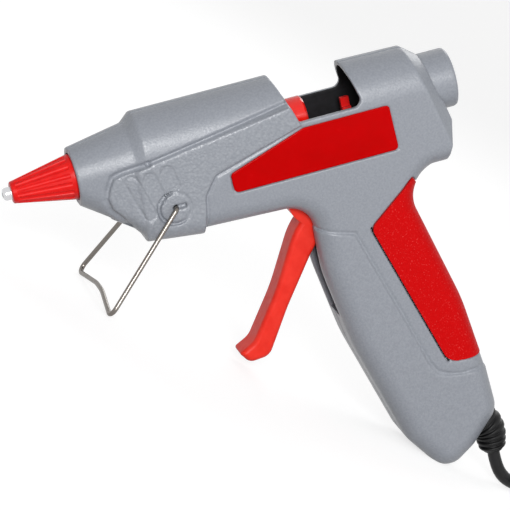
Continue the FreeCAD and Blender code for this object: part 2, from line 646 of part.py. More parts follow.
def housing_half(full, side):
    """One moulded half: side -1 is the left one, which takes the threads, and 1 the right one."""
    y0, y1 = sorted((side * SEAM_GAP, side * FAR))
    half = full.common(box(-FAR, FAR, y0, y1, -FAR, FAR))
    outside = housing_outside()
    inside = outside.common(box(CAVITY_FRONT_X - 1.0, FAR, y0, y1, -FAR, FAR))
    half = half.fuse([piece.common(inside) for piece in half_posts(side)])
    bail_end = HALF_WIDTH - BAIL_PIN_DEPTH - FAR / 100
    holes = [rod_y(PIVOT_PIN_RADIUS + RUNNING_GAP, -PIVOT_PIN_HALF, PIVOT_PIN_HALF, PIVOT_X, PIVOT_Z),
             rod_y(BAIL_WIRE_RADIUS + RUNNING_GAP, side * bail_end, side * FAR, BAIL_PIVOT_X, BAIL_PIVOT_Z)]
    for x, z, seat_y in SCREW_PLACES:
        if side < 0:
            holes.append(rod_y(SCREW_RADIUS, -SCREW_REACH - 1.0, 1.0, x, z))
        else:
            holes.append(rod_y(SCREW_RADIUS + SCREW_HEAD_GAP, -1.0, FAR, x, z))
            holes.append(rod_y(SCREW_HEAD_RADIUS + SCREW_HEAD_GAP, seat_y, FAR, x, z))
    return largest(half.cut(holes))


def largest(shape):
    return max(shape.Solids, key=lambda solid: solid.Volume)


def label_panel():
    """Glossy panel in its pocket on the left side."""
    back = LABEL_THICK - LABEL_PROUD - HALF_WIDTH
    panel = side_block(LABEL_CORNERS, back - LABEL_THICK, back)
    face = back - LABEL_THICK
    rim = [e for e in panel.Edges if abs(e.BoundBox.YMin - face) < 1e-6 and e.BoundBox.YLength < 1e-6]
    return panel.makeFillet(LABEL_THICK * 0.4, rim)


def grip_insert():
    """Soft insert wrapped round the back of the grip, in its pocket."""
    skin = body_block(-INSERT_PROUD).cut(body_block(INSERT_THICK - INSERT_PROUD))
    return largest(side_block(INSERT_CORNERS, -FAR, FAR).common(skin))


def stick_guide():
    """Rear collar and the tube that leads the stick to the jaw; its flange sits behind the rear wall."""
    bore = GUIDE_BORE_RADIUS
    profile = [(GUIDE_FRONT_X, bore + 1.2), (GUIDE_FRONT_X, GUIDE_TUBE_RADIUS),
               (FLANGE_X - 0.2 - FLANGE_THICK, GUIDE_TUBE_RADIUS),
               (FLANGE_X - 0.2 - FLANGE_THICK, COLLAR_RADIUS + 1.4), (FLANGE_X - 0.2, COLLAR_RADIUS + 1.4),
               (FLANGE_X - 0.2, COLLAR_RADIUS), (COLLAR_END_X - 1.2, COLLAR_RADIUS),
               (COLLAR_END_X - 0.35, COLLAR_RADIUS - 0.35), (COLLAR_END_X, COLLAR_RADIUS - 1.2),
               (COLLAR_END_X, bore + 1.2), (COLLAR_END_X - 1.2, bore), (GUIDE_FRONT_X + 1.2, bore)]
    points = [vec(x, 0, r) for x, r in profile]
    face = Part.Face(Part.makePolygon(points + points[:1]))
    return face.revolve(vec(0, 0, 0), vec(1, 0, 0), 360)


# ---------------------------------------------------------------- nozzle and melt chamber
def nozzle():
    """Steel nozzle with a rounded tip, a hexagon and a threaded shank, bored for the glue and the valve."""
    tip = -TIP_LENGTH
    body = turned_x([(tip, TIP_RADIUS - 1.2), (tip + 0.35, TIP_RADIUS - 0.45),
                     (tip + 1.1, TIP_RADIUS - 0.05), (tip + 1.6, TIP_RADIUS), (0.6, TIP_RADIUS),
                     (1.4, TIP_RADIUS + 0.6), (HEX_X, NOZZLE_HEX_RADIUS * 0.86),
                     (HEX_X + 0.01, THREAD_RADIUS), (SHANK_END_X, THREAD_RADIUS)])
    corners = []
    for i in range(7):
        turn = math.radians(60 * i)
        corner = vec(HEX_X - 0.5, math.cos(turn) * NOZZLE_HEX_RADIUS, math.sin(turn) * NOZZLE_HEX_RADIUS)
        corners.append(corner)
    hexagon = Part.Face(Part.makePolygon(corners)).extrude(vec(HEX_LENGTH, 0, 0))
    bore = rod_x(NOZZLE_BORE_RADIUS, tip - 1.0, VALVE_FRONT_X + 1.0)
    chamber = rod_x(VALVE_BORE_RADIUS, VALVE_FRONT_X, SHANK_END_X - VALVE_LIP)
    inlet = rod_x(VALVE_BALL_RADIUS * 0.75, VALVE_FRONT_X, SHANK_END_X + 1.0)
    return body.fuse(hexagon).cut([bore, chamber, inlet])


def nozzle_sleeve():
    """Red fluted sleeve over the nozzle, tucked into the housing's mouth."""
    end = CONE_LENGTH + CONE_TUCK
    body = turned_x([(0.0, CONE_TIP_RADIUS - 0.5), (0.4, CONE_TIP_RADIUS),
                     (CONE_LENGTH - 0.4, CONE_BASE_RADIUS), (end, CONE_BASE_RADIUS)])
    slope = math.atan2(CONE_BASE_RADIUS - CONE_TIP_RADIUS, CONE_LENGTH)
    lift = FLUTE_RADIUS - FLUTE_DEPTH
    flutes = []
    for i in range(FLUTE_COUNT):
        turn = 2 * math.pi * i / FLUTE_COUNT
        out = vec(0, math.cos(turn), math.sin(turn))
        front = CONE_TIP_RADIUS + FLUTE_START * math.tan(slope) + lift
        back = CONE_BASE_RADIUS - FLUTE_START * math.tan(slope) + lift
        start = vec(FLUTE_START, 0, 0).add(vec(*out).multiply(front))
        finish = vec(CONE_LENGTH - FLUTE_START, 0, 0).add(vec(*out).multiply(back))
        flutes.append(rod(FLUTE_RADIUS, start, finish))
    gap = SEAT_GAP
    seat = HEX_X - 0.5 - gap
    room = turned_x([(-1.0, TIP_RADIUS + gap), (0.6, TIP_RADIUS + gap), (1.4, TIP_RADIUS + 0.6 + gap),
                     (seat, NOZZLE_HEX_RADIUS * 0.86 + gap), (seat, NOZZLE_HEX_RADIUS + gap),
                     (end + 1.0, NOZZLE_HEX_RADIUS + gap)])
    neck = rod_x(CHAMBER_NECK_RADIUS + gap, NECK_FRONT_X - gap, end + 1.0)
    return body.cut(flutes + [room, neck])


def melt_chamber():
    """Cast aluminium chamber: threaded neck, tapered bore, heater pocket and a tail for the sleeve."""
    tail_end = CHAMBER_BACK_X + CHAMBER_TAIL_LENGTH
    body = turned_x([(NECK_FRONT_X, CHAMBER_NECK_RADIUS), (CHAMBER_FRONT_X, CHAMBER_NECK_RADIUS),
                     (CHAMBER_FRONT_X + 2.0, CHAMBER_RADIUS), (CHAMBER_BACK_X, CHAMBER_RADIUS),
                     (CHAMBER_BACK_X, CHAMBER_TAIL_RADIUS), (tail_end, CHAMBER_TAIL_RADIUS)])
    half, low, high = pocket_room()
    block = box(HEATER_X[0], HEATER_X[1], -half - POCKET_WALL, half + POCKET_WALL, low - POCKET_WALL, 0.0)
    pocket = box(HEATER_X[0] - 1.0, HEATER_X[1] + 1.0, -half, half, low, high)
    thread = rod_x(THREAD_RADIUS + SEAT_GAP, NECK_FRONT_X - 1.0, SHANK_END_X + 0.6)
    bore = turned_x([(SHANK_END_X, MELT_BORE_RADIUS), (HEATER_X[0], MELT_BORE_RADIUS),
                     (tail_end - 1.5, GUIDE_BORE_RADIUS + 0.25), (tail_end + 1.0, GUIDE_BORE_RADIUS + 1.0)])
    return body.fuse(block).cut([pocket, thread, bore])


def pocket_room():
    """Heater pocket: half width, lowest and highest z."""
    tall = PILL_SIZE[2] + 2 * ELECTRODE_THICK + 2 * WRAP_THICK + 4 * SEAT_GAP
    return PILL_SIZE[1] / 2 + WRAP_THICK + 2 * SEAT_GAP, HEATER_TOP_Z - tall, HEATER_TOP_Z


def heater_stack():
    """Heater pills, their two electrodes and the insulating wrap, from the pocket's floor up."""
    half, low, high = pocket_room()
    x0, x1 = HEATER_X[0] + 1.0, HEATER_X[1] - 1.0
    wrap = box(x0, x1, -half + SEAT_GAP, half - SEAT_GAP, low + SEAT_GAP, high - SEAT_GAP)
    inner_low, inner_high = low + SEAT_GAP + WRAP_THICK, high - SEAT_GAP - WRAP_THICK
    wrap = wrap.cut(box(x0 - 1, x1 + 1, -half + SEAT_GAP + WRAP_THICK, half - SEAT_GAP - WRAP_THICK,
                        inner_low, inner_high))
    wide = PILL_SIZE[1] / 2 - SEAT_GAP
    plates, pills = [], []
    middle = (inner_low + inner_high) / 2
    for bottom, y in ((inner_low, WIRE_Y[0]), (inner_high - ELECTRODE_THICK, WIRE_Y[1])):
        plate = box(x0 + 1.0, x1 - 1.0, -wide, wide, bottom, bottom + ELECTRODE_THICK)
        tab = box(x1 - 2.0, TAB_END_X, y - 1.6, y + 1.6, bottom, bottom + ELECTRODE_THICK)
        plates.append(plate.fuse(tab).removeSplitter())
    for i in range(2):
        start = x0 + 1.6 + i * (PILL_SIZE[0] + 0.8)
        pills.append(box(start, start + PILL_SIZE[0], -wide, wide, middle - PILL_SIZE[2] / 2,
                         middle + PILL_SIZE[2] / 2))
    return wrap, Part.makeCompound(plates), Part.makeCompound(pills)


def support_ring(x):
    """Heat-resistant support between the chamber and the housing's walls."""
    room = nose_block(WALL + SEAT_GAP).fuse([front_hood(WALL + SEAT_GAP), body_block(WALL + SEAT_GAP)])
    plate = room.common(box(x, x + SUPPORT_THICK, -FAR, FAR, HEATER_TOP_Z + 0.5, FAR))
    return largest(plate.cut(rod_x(CHAMBER_RADIUS + SEAT_GAP, x - 1.0, x + SUPPORT_THICK + 1.0)))


def inlet_sleeve():
    """Red silicone sleeve from the chamber's tail to the loading slot."""
    start = CHAMBER_BACK_X + SEAT_GAP
    tail_end = CHAMBER_BACK_X + CHAMBER_TAIL_LENGTH
    body = turned_x([(start, SLEEVE_RADIUS), (SLEEVE_END_X - 0.8, SLEEVE_RADIUS),
                     (SLEEVE_END_X, SLEEVE_RADIUS - 0.8)])
    on_tail = CHAMBER_TAIL_RADIUS + SEAT_GAP
    room = turned_x([(start - 1.0, on_tail), (tail_end + SEAT_GAP, on_tail),
                     (tail_end + SEAT_GAP, GUIDE_BORE_RADIUS), (SLEEVE_END_X - 2.0, GUIDE_BORE_RADIUS),
                     (SLEEVE_END_X + 1.0, GUIDE_BORE_RADIUS + 2.0)])
    return body.cut(room)


def sleeve_clip():
    """Spring wire clip round the sleeve, with its two ears on top."""
    ring = Part.makeTorus(SLEEVE_RADIUS + CLIP_WIRE + SEAT_GAP, CLIP_WIRE, vec(CLIP_X, 0, 0), vec(1, 0, 0))
    top = SLEEVE_RADIUS + CLIP_WIRE
    ears = [rod(CLIP_WIRE, vec(CLIP_X, y, top), vec(CLIP_X, 2.5 * y, top + CLIP_EAR)) for y in (-1.0, 1.0)]
    return ring.fuse(ears)


def valve():
    """Ball that shuts the glue off when the trigger is let go, and the spring behind it."""
    ball_x = SHANK_END_X - VALVE_LIP - VALVE_BALL_RADIUS - SEAT_GAP
    ball = Part.makeSphere(VALVE_BALL_RADIUS, vec(ball_x, 0, 0))
    radius = VALVE_BORE_RADIUS - VALVE_SPRING_GAP - VALVE_SPRING_WIRE
    start = VALVE_FRONT_X + VALVE_SPRING_WIRE + SEAT_GAP
    room = ball_x - VALVE_BALL_RADIUS - VALVE_SPRING_WIRE - SEAT_GAP - start
    return ball, coil_spring(radius, VALVE_SPRING_WIRE, room, VALVE_SPRING_TURNS, start)


def coil_spring(radius, wire, length, turns, x):
    """Round-wire spring along the stick's axis, from x rearward."""
    helix = Part.makeHelix(length / turns, length, radius)
    ring = Part.Wire(Part.makeCircle(wire, vec(radius, 0, 0), vec(0, 1, 0)))
    spring = Part.Wire(helix).makePipeShell([ring], True, True)
    spring.rotate(vec(0, 0, 0), vec(0, 1, 0), 90)
    spring.translate(vec(x, 0, 0))
    return spring


# ---------------------------------------------------------------- trigger and feed
def swing_half():
    """Half of the trigger's travel: the arms lean as far back at rest as forward when it is pulled."""
    return math.radians(TRIGGER_TRAVEL / 2)


def drive_x():
    """Where the drive pins stand at rest."""
    return PIVOT_X + (DRIVE_Z - PIVOT_Z) * math.tan(swing_half())


def along_arm(distance):
    """Point on the arms' middle line at rest, at a distance from the pivot."""
    return PIVOT_X + distance * math.sin(swing_half()), PIVOT_Z + distance * math.cos(swing_half())


def trigger():
    """Finger lever with a hub on its pin and two slotted arms that carry the carriage forward."""
    half = TRIGGER_HALF_WIDTH
    lever = side_block(TRIGGER_CORNERS, -half, half)
    top = TRIGGER_CORNERS[-2][1] - 8.0
    rims = [e for e in lever.Edges if e.BoundBox.YLength < 1e-6 and e.BoundBox.ZMax < top and e.Length > 1.0]
    lever = lever.makeFillet(TRIGGER_EDGE, rims)
    shroud = rod_y(SHROUD_RADIUS, -half, half, PIVOT_X, PIVOT_Z)
    shroud = shroud.common(box(-FAR, PIVOT_X + 2.0, -FAR, FAR, -FAR, PIVOT_Z + SHROUD_TOP))
    outer = CARRIAGE_HALF_WIDTH + SIDE_GAP + ARM_THICK
    body = lever.fuse([shroud, rod_y(HUB_RADIUS, -outer, outer, PIVOT_X, PIVOT_Z)])
    reach = (DRIVE_Z - PIVOT_Z) / math.cos(swing_half())
    tip = along_arm(reach + ARM_WIDTH / 4)
    for side in (-1, 1):
        y0, y1 = sorted((side * (outer - ARM_THICK), side * outer))
        arm = box(-ARM_WIDTH / 2, ARM_WIDTH / 2, y0, y1, 0, reach + ARM_WIDTH / 4)
        arm.rotate(vec(0, 0, 0), vec(0, 1, 0), TRIGGER_TRAVEL / 2)
        arm.translate(vec(PIVOT_X, 0, PIVOT_Z))
        body = body.fuse([arm, rod_y(ARM_WIDTH / 2, y0, y1, *tip)])
    slots = []
    for distance in (reach - 1.2, reach + 1.2):
        slots.append(rod_y(DRIVE_PIN_RADIUS + DRIVE_SLOT_GAP, -FAR, FAR, *along_arm(distance)))
    slot_half = DRIVE_PIN_RADIUS + DRIVE_SLOT_GAP
    middle = box(-slot_half, slot_half, -FAR, FAR, reach - 1.2, reach + 1.2)
    middle.rotate(vec(0, 0, 0), vec(0, 1, 0), TRIGGER_TRAVEL / 2)
    middle.translate(vec(PIVOT_X, 0, PIVOT_Z))
    hole = rod_y(PIVOT_PIN_RADIUS + RUNNING_GAP, -FAR, FAR, PIVOT_X, PIVOT_Z)
    peg_x, peg_z = along_arm(SPRING_ARM)
    peg = rod_y(SPRING_PEG_RADIUS, SPRING_Y - 1.4, outer - ARM_THICK / 2, peg_x, peg_z)
    return body.cut(slots + [middle, hole]).fuse(peg)


def carriage():
    """Sliding carriage under the stick: tongues in the rails, drive pins for the arms, jaw's pocket."""
    front = drive_x() - CARRIAGE_FRONT
    half, thick = CARRIAGE_HALF_WIDTH, CARRIAGE_THICK
    plate = box(front, front + CARRIAGE_LENGTH, -half, half, DRIVE_Z - thick / 2, DRIVE_Z + thick / 2)
    outer = half + SIDE_GAP + ARM_THICK
    pins = rod_y(DRIVE_PIN_RADIUS, -outer, outer, drive_x(), DRIVE_Z)
    tongue_half = HALF_WIDTH - WALL - SIDE_GAP
    back = front + CARRIAGE_LENGTH
    tongues = box(back - TONGUE_LENGTH, back, -tongue_half, tongue_half,
                  DRIVE_Z - RAIL_TONGUE / 2 + RUNNING_GAP, DRIVE_Z + RAIL_TONGUE / 2 - RUNNING_GAP)
    jaw_x = drive_x() + JAW_BACK
    pocket = box(jaw_x - JAW_THICK / 2 - 1.2, jaw_x + JAW_THICK / 2 + 1.2, -JAW_TAIL_HALF - SIDE_GAP,
                 JAW_TAIL_HALF + SIDE_GAP, -FAR, FAR)
    hole = rod_y(JAW_PIN_RADIUS, -half + 1.0, half - 1.0, jaw_x, DRIVE_Z)
    return plate.fuse([pins, tongues]).cut([pocket, hole])


def jaw():
    """Toothed jaw that tips against the stick: a tail on its pin, a saddle and one tall side arm."""
    x = drive_x() + JAW_BACK
    half = JAW_THICK / 2
    low = DRIVE_Z - CARRIAGE_THICK / 2
    clear = DRIVE_Z + CARRIAGE_THICK / 2 + SIDE_GAP
    tail = box(x - half, x + half, -JAW_TAIL_HALF, JAW_TAIL_HALF, low, -STICK_RADIUS - 2.0)
    saddle = box(x - half, x + half, -JAW_HALF_WIDTH, JAW_HALF_WIDTH, clear, -STICK_RADIUS + 2.4)
    arm = box(x - half, x + half, JAW_HALF_WIDTH - JAW_ARM_THICK, JAW_HALF_WIDTH, clear, JAW_ARM_TOP_Z)
    bore = rod_x(STICK_RADIUS + 0.4, x - 10, x + 10)
    round_foot = rod_y(half, -JAW_TAIL_HALF, JAW_TAIL_HALF, x, low)
    hole = rod_y(JAW_PIN_RADIUS + RUNNING_GAP, -FAR, FAR, x, DRIVE_Z)
    teeth = [box(x - half + i * 0.9 - 0.2, x - half + i * 0.9 + 0.2, -3.0, 3.0, -STICK_RADIUS - 0.7,
                 -STICK_RADIUS + 1.0) for i in range(1, 4)]
    return tail.fuse([saddle, arm, round_foot]).cut([bore, hole] + teeth)


def jaw_pin():
    x = drive_x() + JAW_BACK
    reach = CARRIAGE_HALF_WIDTH - 1.2
    return rod_y(JAW_PIN_RADIUS, -reach, reach, x, DRIVE_Z)


def pivot_pin():
    """Steel pin that carries the trigger between the two halves."""
    half = PIVOT_PIN_HALF - SIDE_GAP
    return rod_y(PIVOT_PIN_RADIUS, -half, half, PIVOT_X, PIVOT_Z)


def spring_post():
    """Post on the right half that holds the spring's fixed end."""
    return rod_y(SPRING_POST_RADIUS, SPRING_Y - 1.4, HALF_WIDTH - WALL / 2, *SPRING_POST)


def return_spring():
    """Tension spring from the trigger's arm back to its post, with a loop at each end."""
    x0, z0 = along_arm(SPRING_ARM)
    x1, z1 = SPRING_POST
    span = math.hypot(x1 - x0, z1 - z0)
    loop0 = SPRING_PEG_RADIUS + SPRING_WIRE + SEAT_GAP
    loop1 = SPRING_POST_RADIUS + SPRING_WIRE + SEAT_GAP
    pieces = [Part.makeTorus(loop0, SPRING_WIRE, vec(0, 0, 0), vec(0, 1, 0)),
              Part.makeTorus(loop1, SPRING_WIRE, vec(span, 0, 0), vec(0, 1, 0))]
    start, length = loop0 + 1.6, span - loop0 - loop1 - 3.2
    radius = SPRING_RADIUS - SPRING_WIRE
    pieces.append(coil_spring(radius, SPRING_WIRE, length, round(length / (2.2 * SPRING_WIRE)), start))
    for x, end in ((loop0 - 0.1, start), (start + length, span - loop1 + 0.1)):
        pieces.append(rod(SPRING_WIRE * 0.9, vec(x, 0, 0), vec(end, 0, 0)))
        foot = start if x < start else start + length
        pieces.append(rod(SPRING_WIRE * 0.9, vec(foot, 0, 0.1), vec(foot, 0, -radius)))
    spring = pieces[0].fuse(pieces[1:])
    spring.rotate(vec(0, 0, 0), vec(0, 1, 0), math.degrees(math.atan2(z0 - z1, x1 - x0)))
    spring.translate(vec(x0, SPRING_Y, z0))
    return spring


# ---------------------------------------------------------------- bail stand
def bail_foot():
    """Lowest point of the bail's middle line, in the gun's frame."""
    angle = math.radians(BAIL_ANGLE)
    leg = BAIL_LEG_LENGTH
    return BAIL_PIVOT_X - leg * math.cos(angle), BAIL_PIVOT_Z - leg * math.sin(angle)


def foot_bend_lift():
    """How far the rounded corner of a foot stays inside the corner of its two runs."""
    leg = math.atan2(BAIL_LEG_LENGTH, BAIL_FOOT_HALF - BAIL_TOP_HALF)
    back = math.pi - leg
    bar = math.pi - math.atan2(BAIL_ARCH, BAIL_FOOT_HALF)
    half, middle = (bar - back) / 2, (bar + back) / 2
    return BAIL_BEND * (math.sin(middle) / math.sin(half) - 1)


def bail():
    """Steel wire stand: two legs pinned in the housing and a crossbar arched clear of the bench."""
    low = -BAIL_LEG_LENGTH - foot_bend_lift()
    pin_end = HALF_WIDTH - BAIL_PIN_DEPTH
    half = [(vec(0, pin_end, 0), 0.0), (vec(0, BAIL_TOP_HALF, 0), 1.6),
            (vec(0, BAIL_FOOT_HALF, low), BAIL_BEND),
            (vec(0, BAIL_ARCH_HALF, low + BAIL_ARCH), BAIL_ARCH_ROUND)]
    other = [(vec(0, -point.y, point.z), radius) for point, radius in reversed(half)]
    path = outline_wire(half + other, closed=False)
    ring = Part.Wire(Part.makeCircle(BAIL_WIRE_RADIUS, half[0][0], vec(0, 1, 0)))
    wire = path.makePipeShell([ring], True, True)
    wire.rotate(vec(0, 0, 0), vec(0, 1, 0), 90.0 - BAIL_ANGLE)
    wire.translate(vec(BAIL_PIVOT_X, 0, BAIL_PIVOT_Z))
    return wire


# ---------------------------------------------------------------- fasteners
def housing_screws():
    """Screws from the right side into the posts of the left half."""
    screws = []
    for x, z, seat_y in SCREW_PLACES:
        top = seat_y + SCREW_HEAD_DEPTH
        head = rod_y(SCREW_HEAD_RADIUS, seat_y, top, x, z)
        screw = head.fuse(rod_y(SCREW_RADIUS, -SCREW_REACH, seat_y, x, z))
        narrow = SCREW_SLOT_WIDE / 2
        for half_x, half_z in ((SCREW_SLOT_HALF, narrow), (narrow, SCREW_SLOT_HALF)):
            slot = box(x - half_x, x + half_x, top - SCREW_SLOT_DEPTH, top + 1.0, z - half_z, z + half_z)
            screw = screw.cut(slot)
        screws.append(screw)
    return Part.makeCompound(screws)


# ---------------------------------------------------------------- lead inside the grip
def heel_normal():
    """Outward direction of the butt's rear facet, seen from the side."""
    along = vec(BUTT_BACK[0] - BUTT_HEEL[0], 0, BUTT_BACK[1] - BUTT_HEEL[1]).normalize()
    return vec(-along.z, 0, along.x).multiply(-1)


def relief_base():
    """Middle of the facet that the strain relief comes out of."""
    middle = vec((BUTT_HEEL[0] + BUTT_BACK[0]) / 2, 0, (BUTT_HEEL[1] + BUTT_BACK[1]) / 2)
    return middle.add(heel_normal().multiply(SWELL_PROUD))


def relief_hole():
    out = heel_normal()
    base = relief_base()
    inside = base.sub(vec(*out).multiply(12.0))
    return rod(RELIEF_NECK_RADIUS + 2 * SEAT_GAP, inside, base.add(vec(*out).multiply(4.0)))


def relief_stations():
    """Middle points and directions of the strain relief, from its base to its end."""
    out = heel_normal()
    turn = math.acos(-out.z)
    base = relief_base().add(vec(*out).multiply(SEAT_GAP))
    stations = [(base, vec(*out)), (base.add(vec(*out).multiply(RELIEF_STRAIGHT)), vec(*out))]
    start = stations[-1][0]
    across = vec(-out.z, 0, out.x).multiply(-1)
    centre = start.add(vec(across.x, 0, across.z).multiply(RELIEF_BEND))
    for i in range(1, 4):
        angle = turn * i / 3
        arm = start.sub(centre)
        arm = FreeCAD.Rotation(vec(0, 1, 0), math.degrees(angle)).multVec(arm)
        way = FreeCAD.Rotation(vec(0, 1, 0), math.degrees(angle)).multVec(out)
        stations.append((centre.add(arm), way))
    point, way = stations[-1]
    for share in (0.5, 0.8, 1.0):
        stations.append((point.add(vec(*way).multiply(RELIEF_TAIL * share)), way))
    return stations


def strain_relief():
    """Rubber boot: a neck and flange inside the shell, and a bent bulging body outside it."""
    stations = relief_stations()
    tapers = (0.0, 0.0, 0.1, 0.2, 0.3, 0.6, 1.2, RELIEF_BASE_RADIUS - RELIEF_END_RADIUS)
    radii = [RELIEF_BASE_RADIUS - taper for taper in tapers]
    rings = [Part.Wire(Part.makeCircle(r, point, way)) for (point, way), r in zip(stations, radii)]
    boot = Part.makeLoft(rings, True, False)
    base, out = stations[0]
    inner = base.sub(vec(*out).multiply(WALL + 0.9))
    neck = rod(RELIEF_NECK_RADIUS, inner, base.add(vec(*out).multiply(0.5)))
    flange = rod(RELIEF_FLANGE_RADIUS, inner.sub(vec(*out).multiply(1.6)), inner)
    tube = sheath_tube(LEAD_RADIUS + SEAT_GAP)
    return boot.fuse([neck, flange]).cut(tube)


def sheath_points():
    """Route of the sheathed lead from inside the grip to the strain relief's end."""
    stations = relief_stations()
    base, out = stations[0]
    inside = base.sub(vec(*out).multiply(16.0))
    turn = math.acos(-out.z)
    corner = stations[1][0].add(vec(*out).multiply(RELIEF_BEND * math.tan(turn / 2)))
    return [vec(*SHEATH_END), inside, corner, stations[-1][0]]


def sheath_tube(radius):
    points = sheath_points()
    corners = [(points[0], 0.0), (points[1], 24.0), (points[2], RELIEF_BEND), (points[3], 0.0)]
    path = outline_wire(corners, closed=False)
    ring = Part.Wire(Part.makeCircle(radius, points[0], points[1].sub(points[0])))
    return path.makePipeShell([ring], True, True)


def clamp_place():
    """Where the clamp crosses the sheathed lead, and the lead's direction there."""
    points = sheath_points()
    way = points[0].sub(points[1]).normalize()
    return points[0].sub(vec(*way).multiply(CLAMP_BACK)), way


def cord_clamp():
    """Clamp bar across the sheathed lead, on the saddle of the left half."""
    middle, way = clamp_place()
    bar = Part.makeBox(CLAMP_WIDE, CLAMP_THICK, CLAMP_TALL, vec(-CLAMP_WIDE / 2, 0, -CLAMP_TALL / 2))
    bar = place_on_sheath(bar, middle, way).translated(vec(0, CLAMP_LOW_Y, 0))
    return bar.cut([sheath_tube(LEAD_RADIUS)] + clamp_shanks(middle, way))


def clamp_shanks(middle, way):
    """Shanks of the two screws that pull the clamp bar down, from inside the saddle to above the bar."""
    top = CLAMP_LOW_Y + CLAMP_THICK + SEAT_GAP
    return [place_on_sheath(rod_y(CLAMP_SCREW_RADIUS, top - CLAMP_SCREW_LENGTH, top, x, 0), middle, way)
            for x in (CLAMP_SCREW_IN - CLAMP_WIDE / 2, CLAMP_WIDE / 2 - CLAMP_SCREW_IN)]


def place_on_sheath(shape, middle, way):
    """Turns a piece made about the origin so that its Z runs along the sheath, and moves it there."""
    shape = shape.copy()
    shape.rotate(vec(0, 0, 0), vec(0, 1, 0), math.degrees(math.atan2(way.x, way.z)))
    shape.translate(middle)
    return shape


def clamp_seat():
    """Saddle of the left half under the clamp bar."""
    middle, way = clamp_place()
    y0 = CLAMP_LOW_Y - SEAT_GAP
    deep = HALF_WIDTH - WALL / 2 + y0
    saddle = Part.makeBox(CLAMP_WIDE, deep, CLAMP_TALL, vec(-CLAMP_WIDE / 2, y0 - deep, -CLAMP_TALL / 2))
    channel = sheath_tube(LEAD_RADIUS + SEAT_GAP)
    return place_on_sheath(saddle, middle, way).cut([channel] + clamp_shanks(middle, way))


def clamp_screws():
    """Two small screws through the clamp bar into the saddle."""
    middle, way = clamp_place()
    top = CLAMP_LOW_Y + CLAMP_THICK + SEAT_GAP
    screws = []
    for shank, side in zip(clamp_shanks(middle, way), (-1, 1)):
        x = side * (CLAMP_WIDE / 2 - CLAMP_SCREW_IN)
        head = rod_y(2 * CLAMP_SCREW_RADIUS, top, top + 1.8, x, 0)
        slot = box(x - 1.6, x + 1.6, top + 0.9, top + 3.0, -0.35, 0.35)
        screws.append(place_on_sheath(head.cut(slot), middle, way).fuse(shank))
    return Part.makeCompound(screws)


def lead_wires():
    """Two insulated wires from the heater's tabs, over the trigger's hub and down to their splices."""
    low, high = pocket_room()[1:]
    wires = []
    for y, end_y, tab_z in ((WIRE_Y[0], -SPLICE_Y, low + SEAT_GAP + WRAP_THICK),
                            (WIRE_Y[1], SPLICE_Y, high - SEAT_GAP - WRAP_THICK - ELECTRODE_THICK)):
        points = [vec(TAB_END_X - 1.0, y, tab_z - WIRE_RADIUS)]
        points += [vec(x, y + dy, z) for x, dy, z in WIRE_ROUTE] + [vec(SPLICE_X, end_y, SPLICE_Z)]
        wires.append(round_tube(points, WIRE_RADIUS)[0])
    return Part.makeCompound(wires)


def splices():
    """Crimped sleeves that join the wires to the lead's cores."""
    sleeves = []
    for side in (-1, 1):
        start = vec(SPLICE_X, side * SPLICE_Y, SPLICE_Z)
        way = vec(*SHEATH_END).add(vec(0, side * 1.2, 0)).sub(start).normalize()
        sleeves.append(rod(WIRE_RADIUS + 0.7, start.add(vec(*way).multiply(SIDE_GAP)),
                           start.add(way.multiply(SPLICE_LENGTH - SEAT_GAP))))
    return Part.makeCompound(sleeves)


def lead_cores():
    """Bare cores of the lead between its sheath and the splices."""
    cores = []
    for side in (-1, 1):
        start = vec(*SHEATH_END).add(vec(0, side * 1.2, 0))
        way = vec(SPLICE_X, side * SPLICE_Y, SPLICE_Z).sub(start)
        length = way.Length - SPLICE_LENGTH
        cores.append(rod(WIRE_RADIUS, start, start.add(way.normalize().multiply(length))))
    return Part.makeCompound(cores)


def inner_lead():
    """Sheathed end of the lead inside the grip and the strain relief, with its bare cores."""
    return sheath_tube(LEAD_RADIUS).fuse(lead_cores().Solids)


# ---------------------------------------------------------------- stance on the bench
def stance():
    """The gun stands on its bail and the butt's front corner: the lean in degrees, and the foot's place."""
    toe = vec(BUTT_TOE[0], 0, BUTT_TOE[1])
    front = vec(BUTT_FRONT[0], 0, BUTT_FRONT[1]).sub(toe).normalize()
    half = front.getAngle(vec(1, 0, 0)) / 2
    inward = front.add(vec(1, 0, 0)).normalize()
    centre = toe.add(inward.multiply(BUTT_ROUND / math.sin(half)))
    reach = BUTT_ROUND + SWELL_PROUD - FOOT_DEPTH
    bail_x, bail_z = bail_foot()
    span = vec(centre.x - bail_x, 0, centre.z - bail_z)
    lean = math.atan2(-span.z, span.x) + math.asin((reach - BAIL_WIRE_RADIUS) / span.Length)
    foot = centre.add(vec(-math.sin(lean) * reach, 0, -math.cos(lean) * reach))
    return math.degrees(lean), foot


def on_bench(shape):
    """Moves a piece from the gun's frame to the bench's: origin at the butt's flat foot, Z up."""
    shape = shape.copy()
    shape.translate(vec(-FOOT.x, 0, -FOOT.z))
    shape.rotate(vec(0, 0, 0), vec(0, 1, 0), -STANCE)
    return shape


def bench_point(point):
    turn = FreeCAD.Rotation(vec(0, 1, 0), -STANCE)
    return turn.multVec(point.sub(FOOT))


# ---------------------------------------------------------------- lead on the bench
def lead():
    """Free stretch of the lead, from the strain relief's end to the outer turn of its coil."""
    end, way = relief_stations()[-1]
    start = bench_point(end)
    second = bench_point(end.add(vec(*way).multiply(LEAD_FIRST_RUN)))
    return round_tube([start, second] + [vec(*point) for point in LEAD_ROUTE], LEAD_RADIUS)


def tail():
    """End of the lead, from the coil's upper layer round to the plug."""
    return round_tube([vec(*point) for point in TAIL_ROUTE], LEAD_RADIUS)


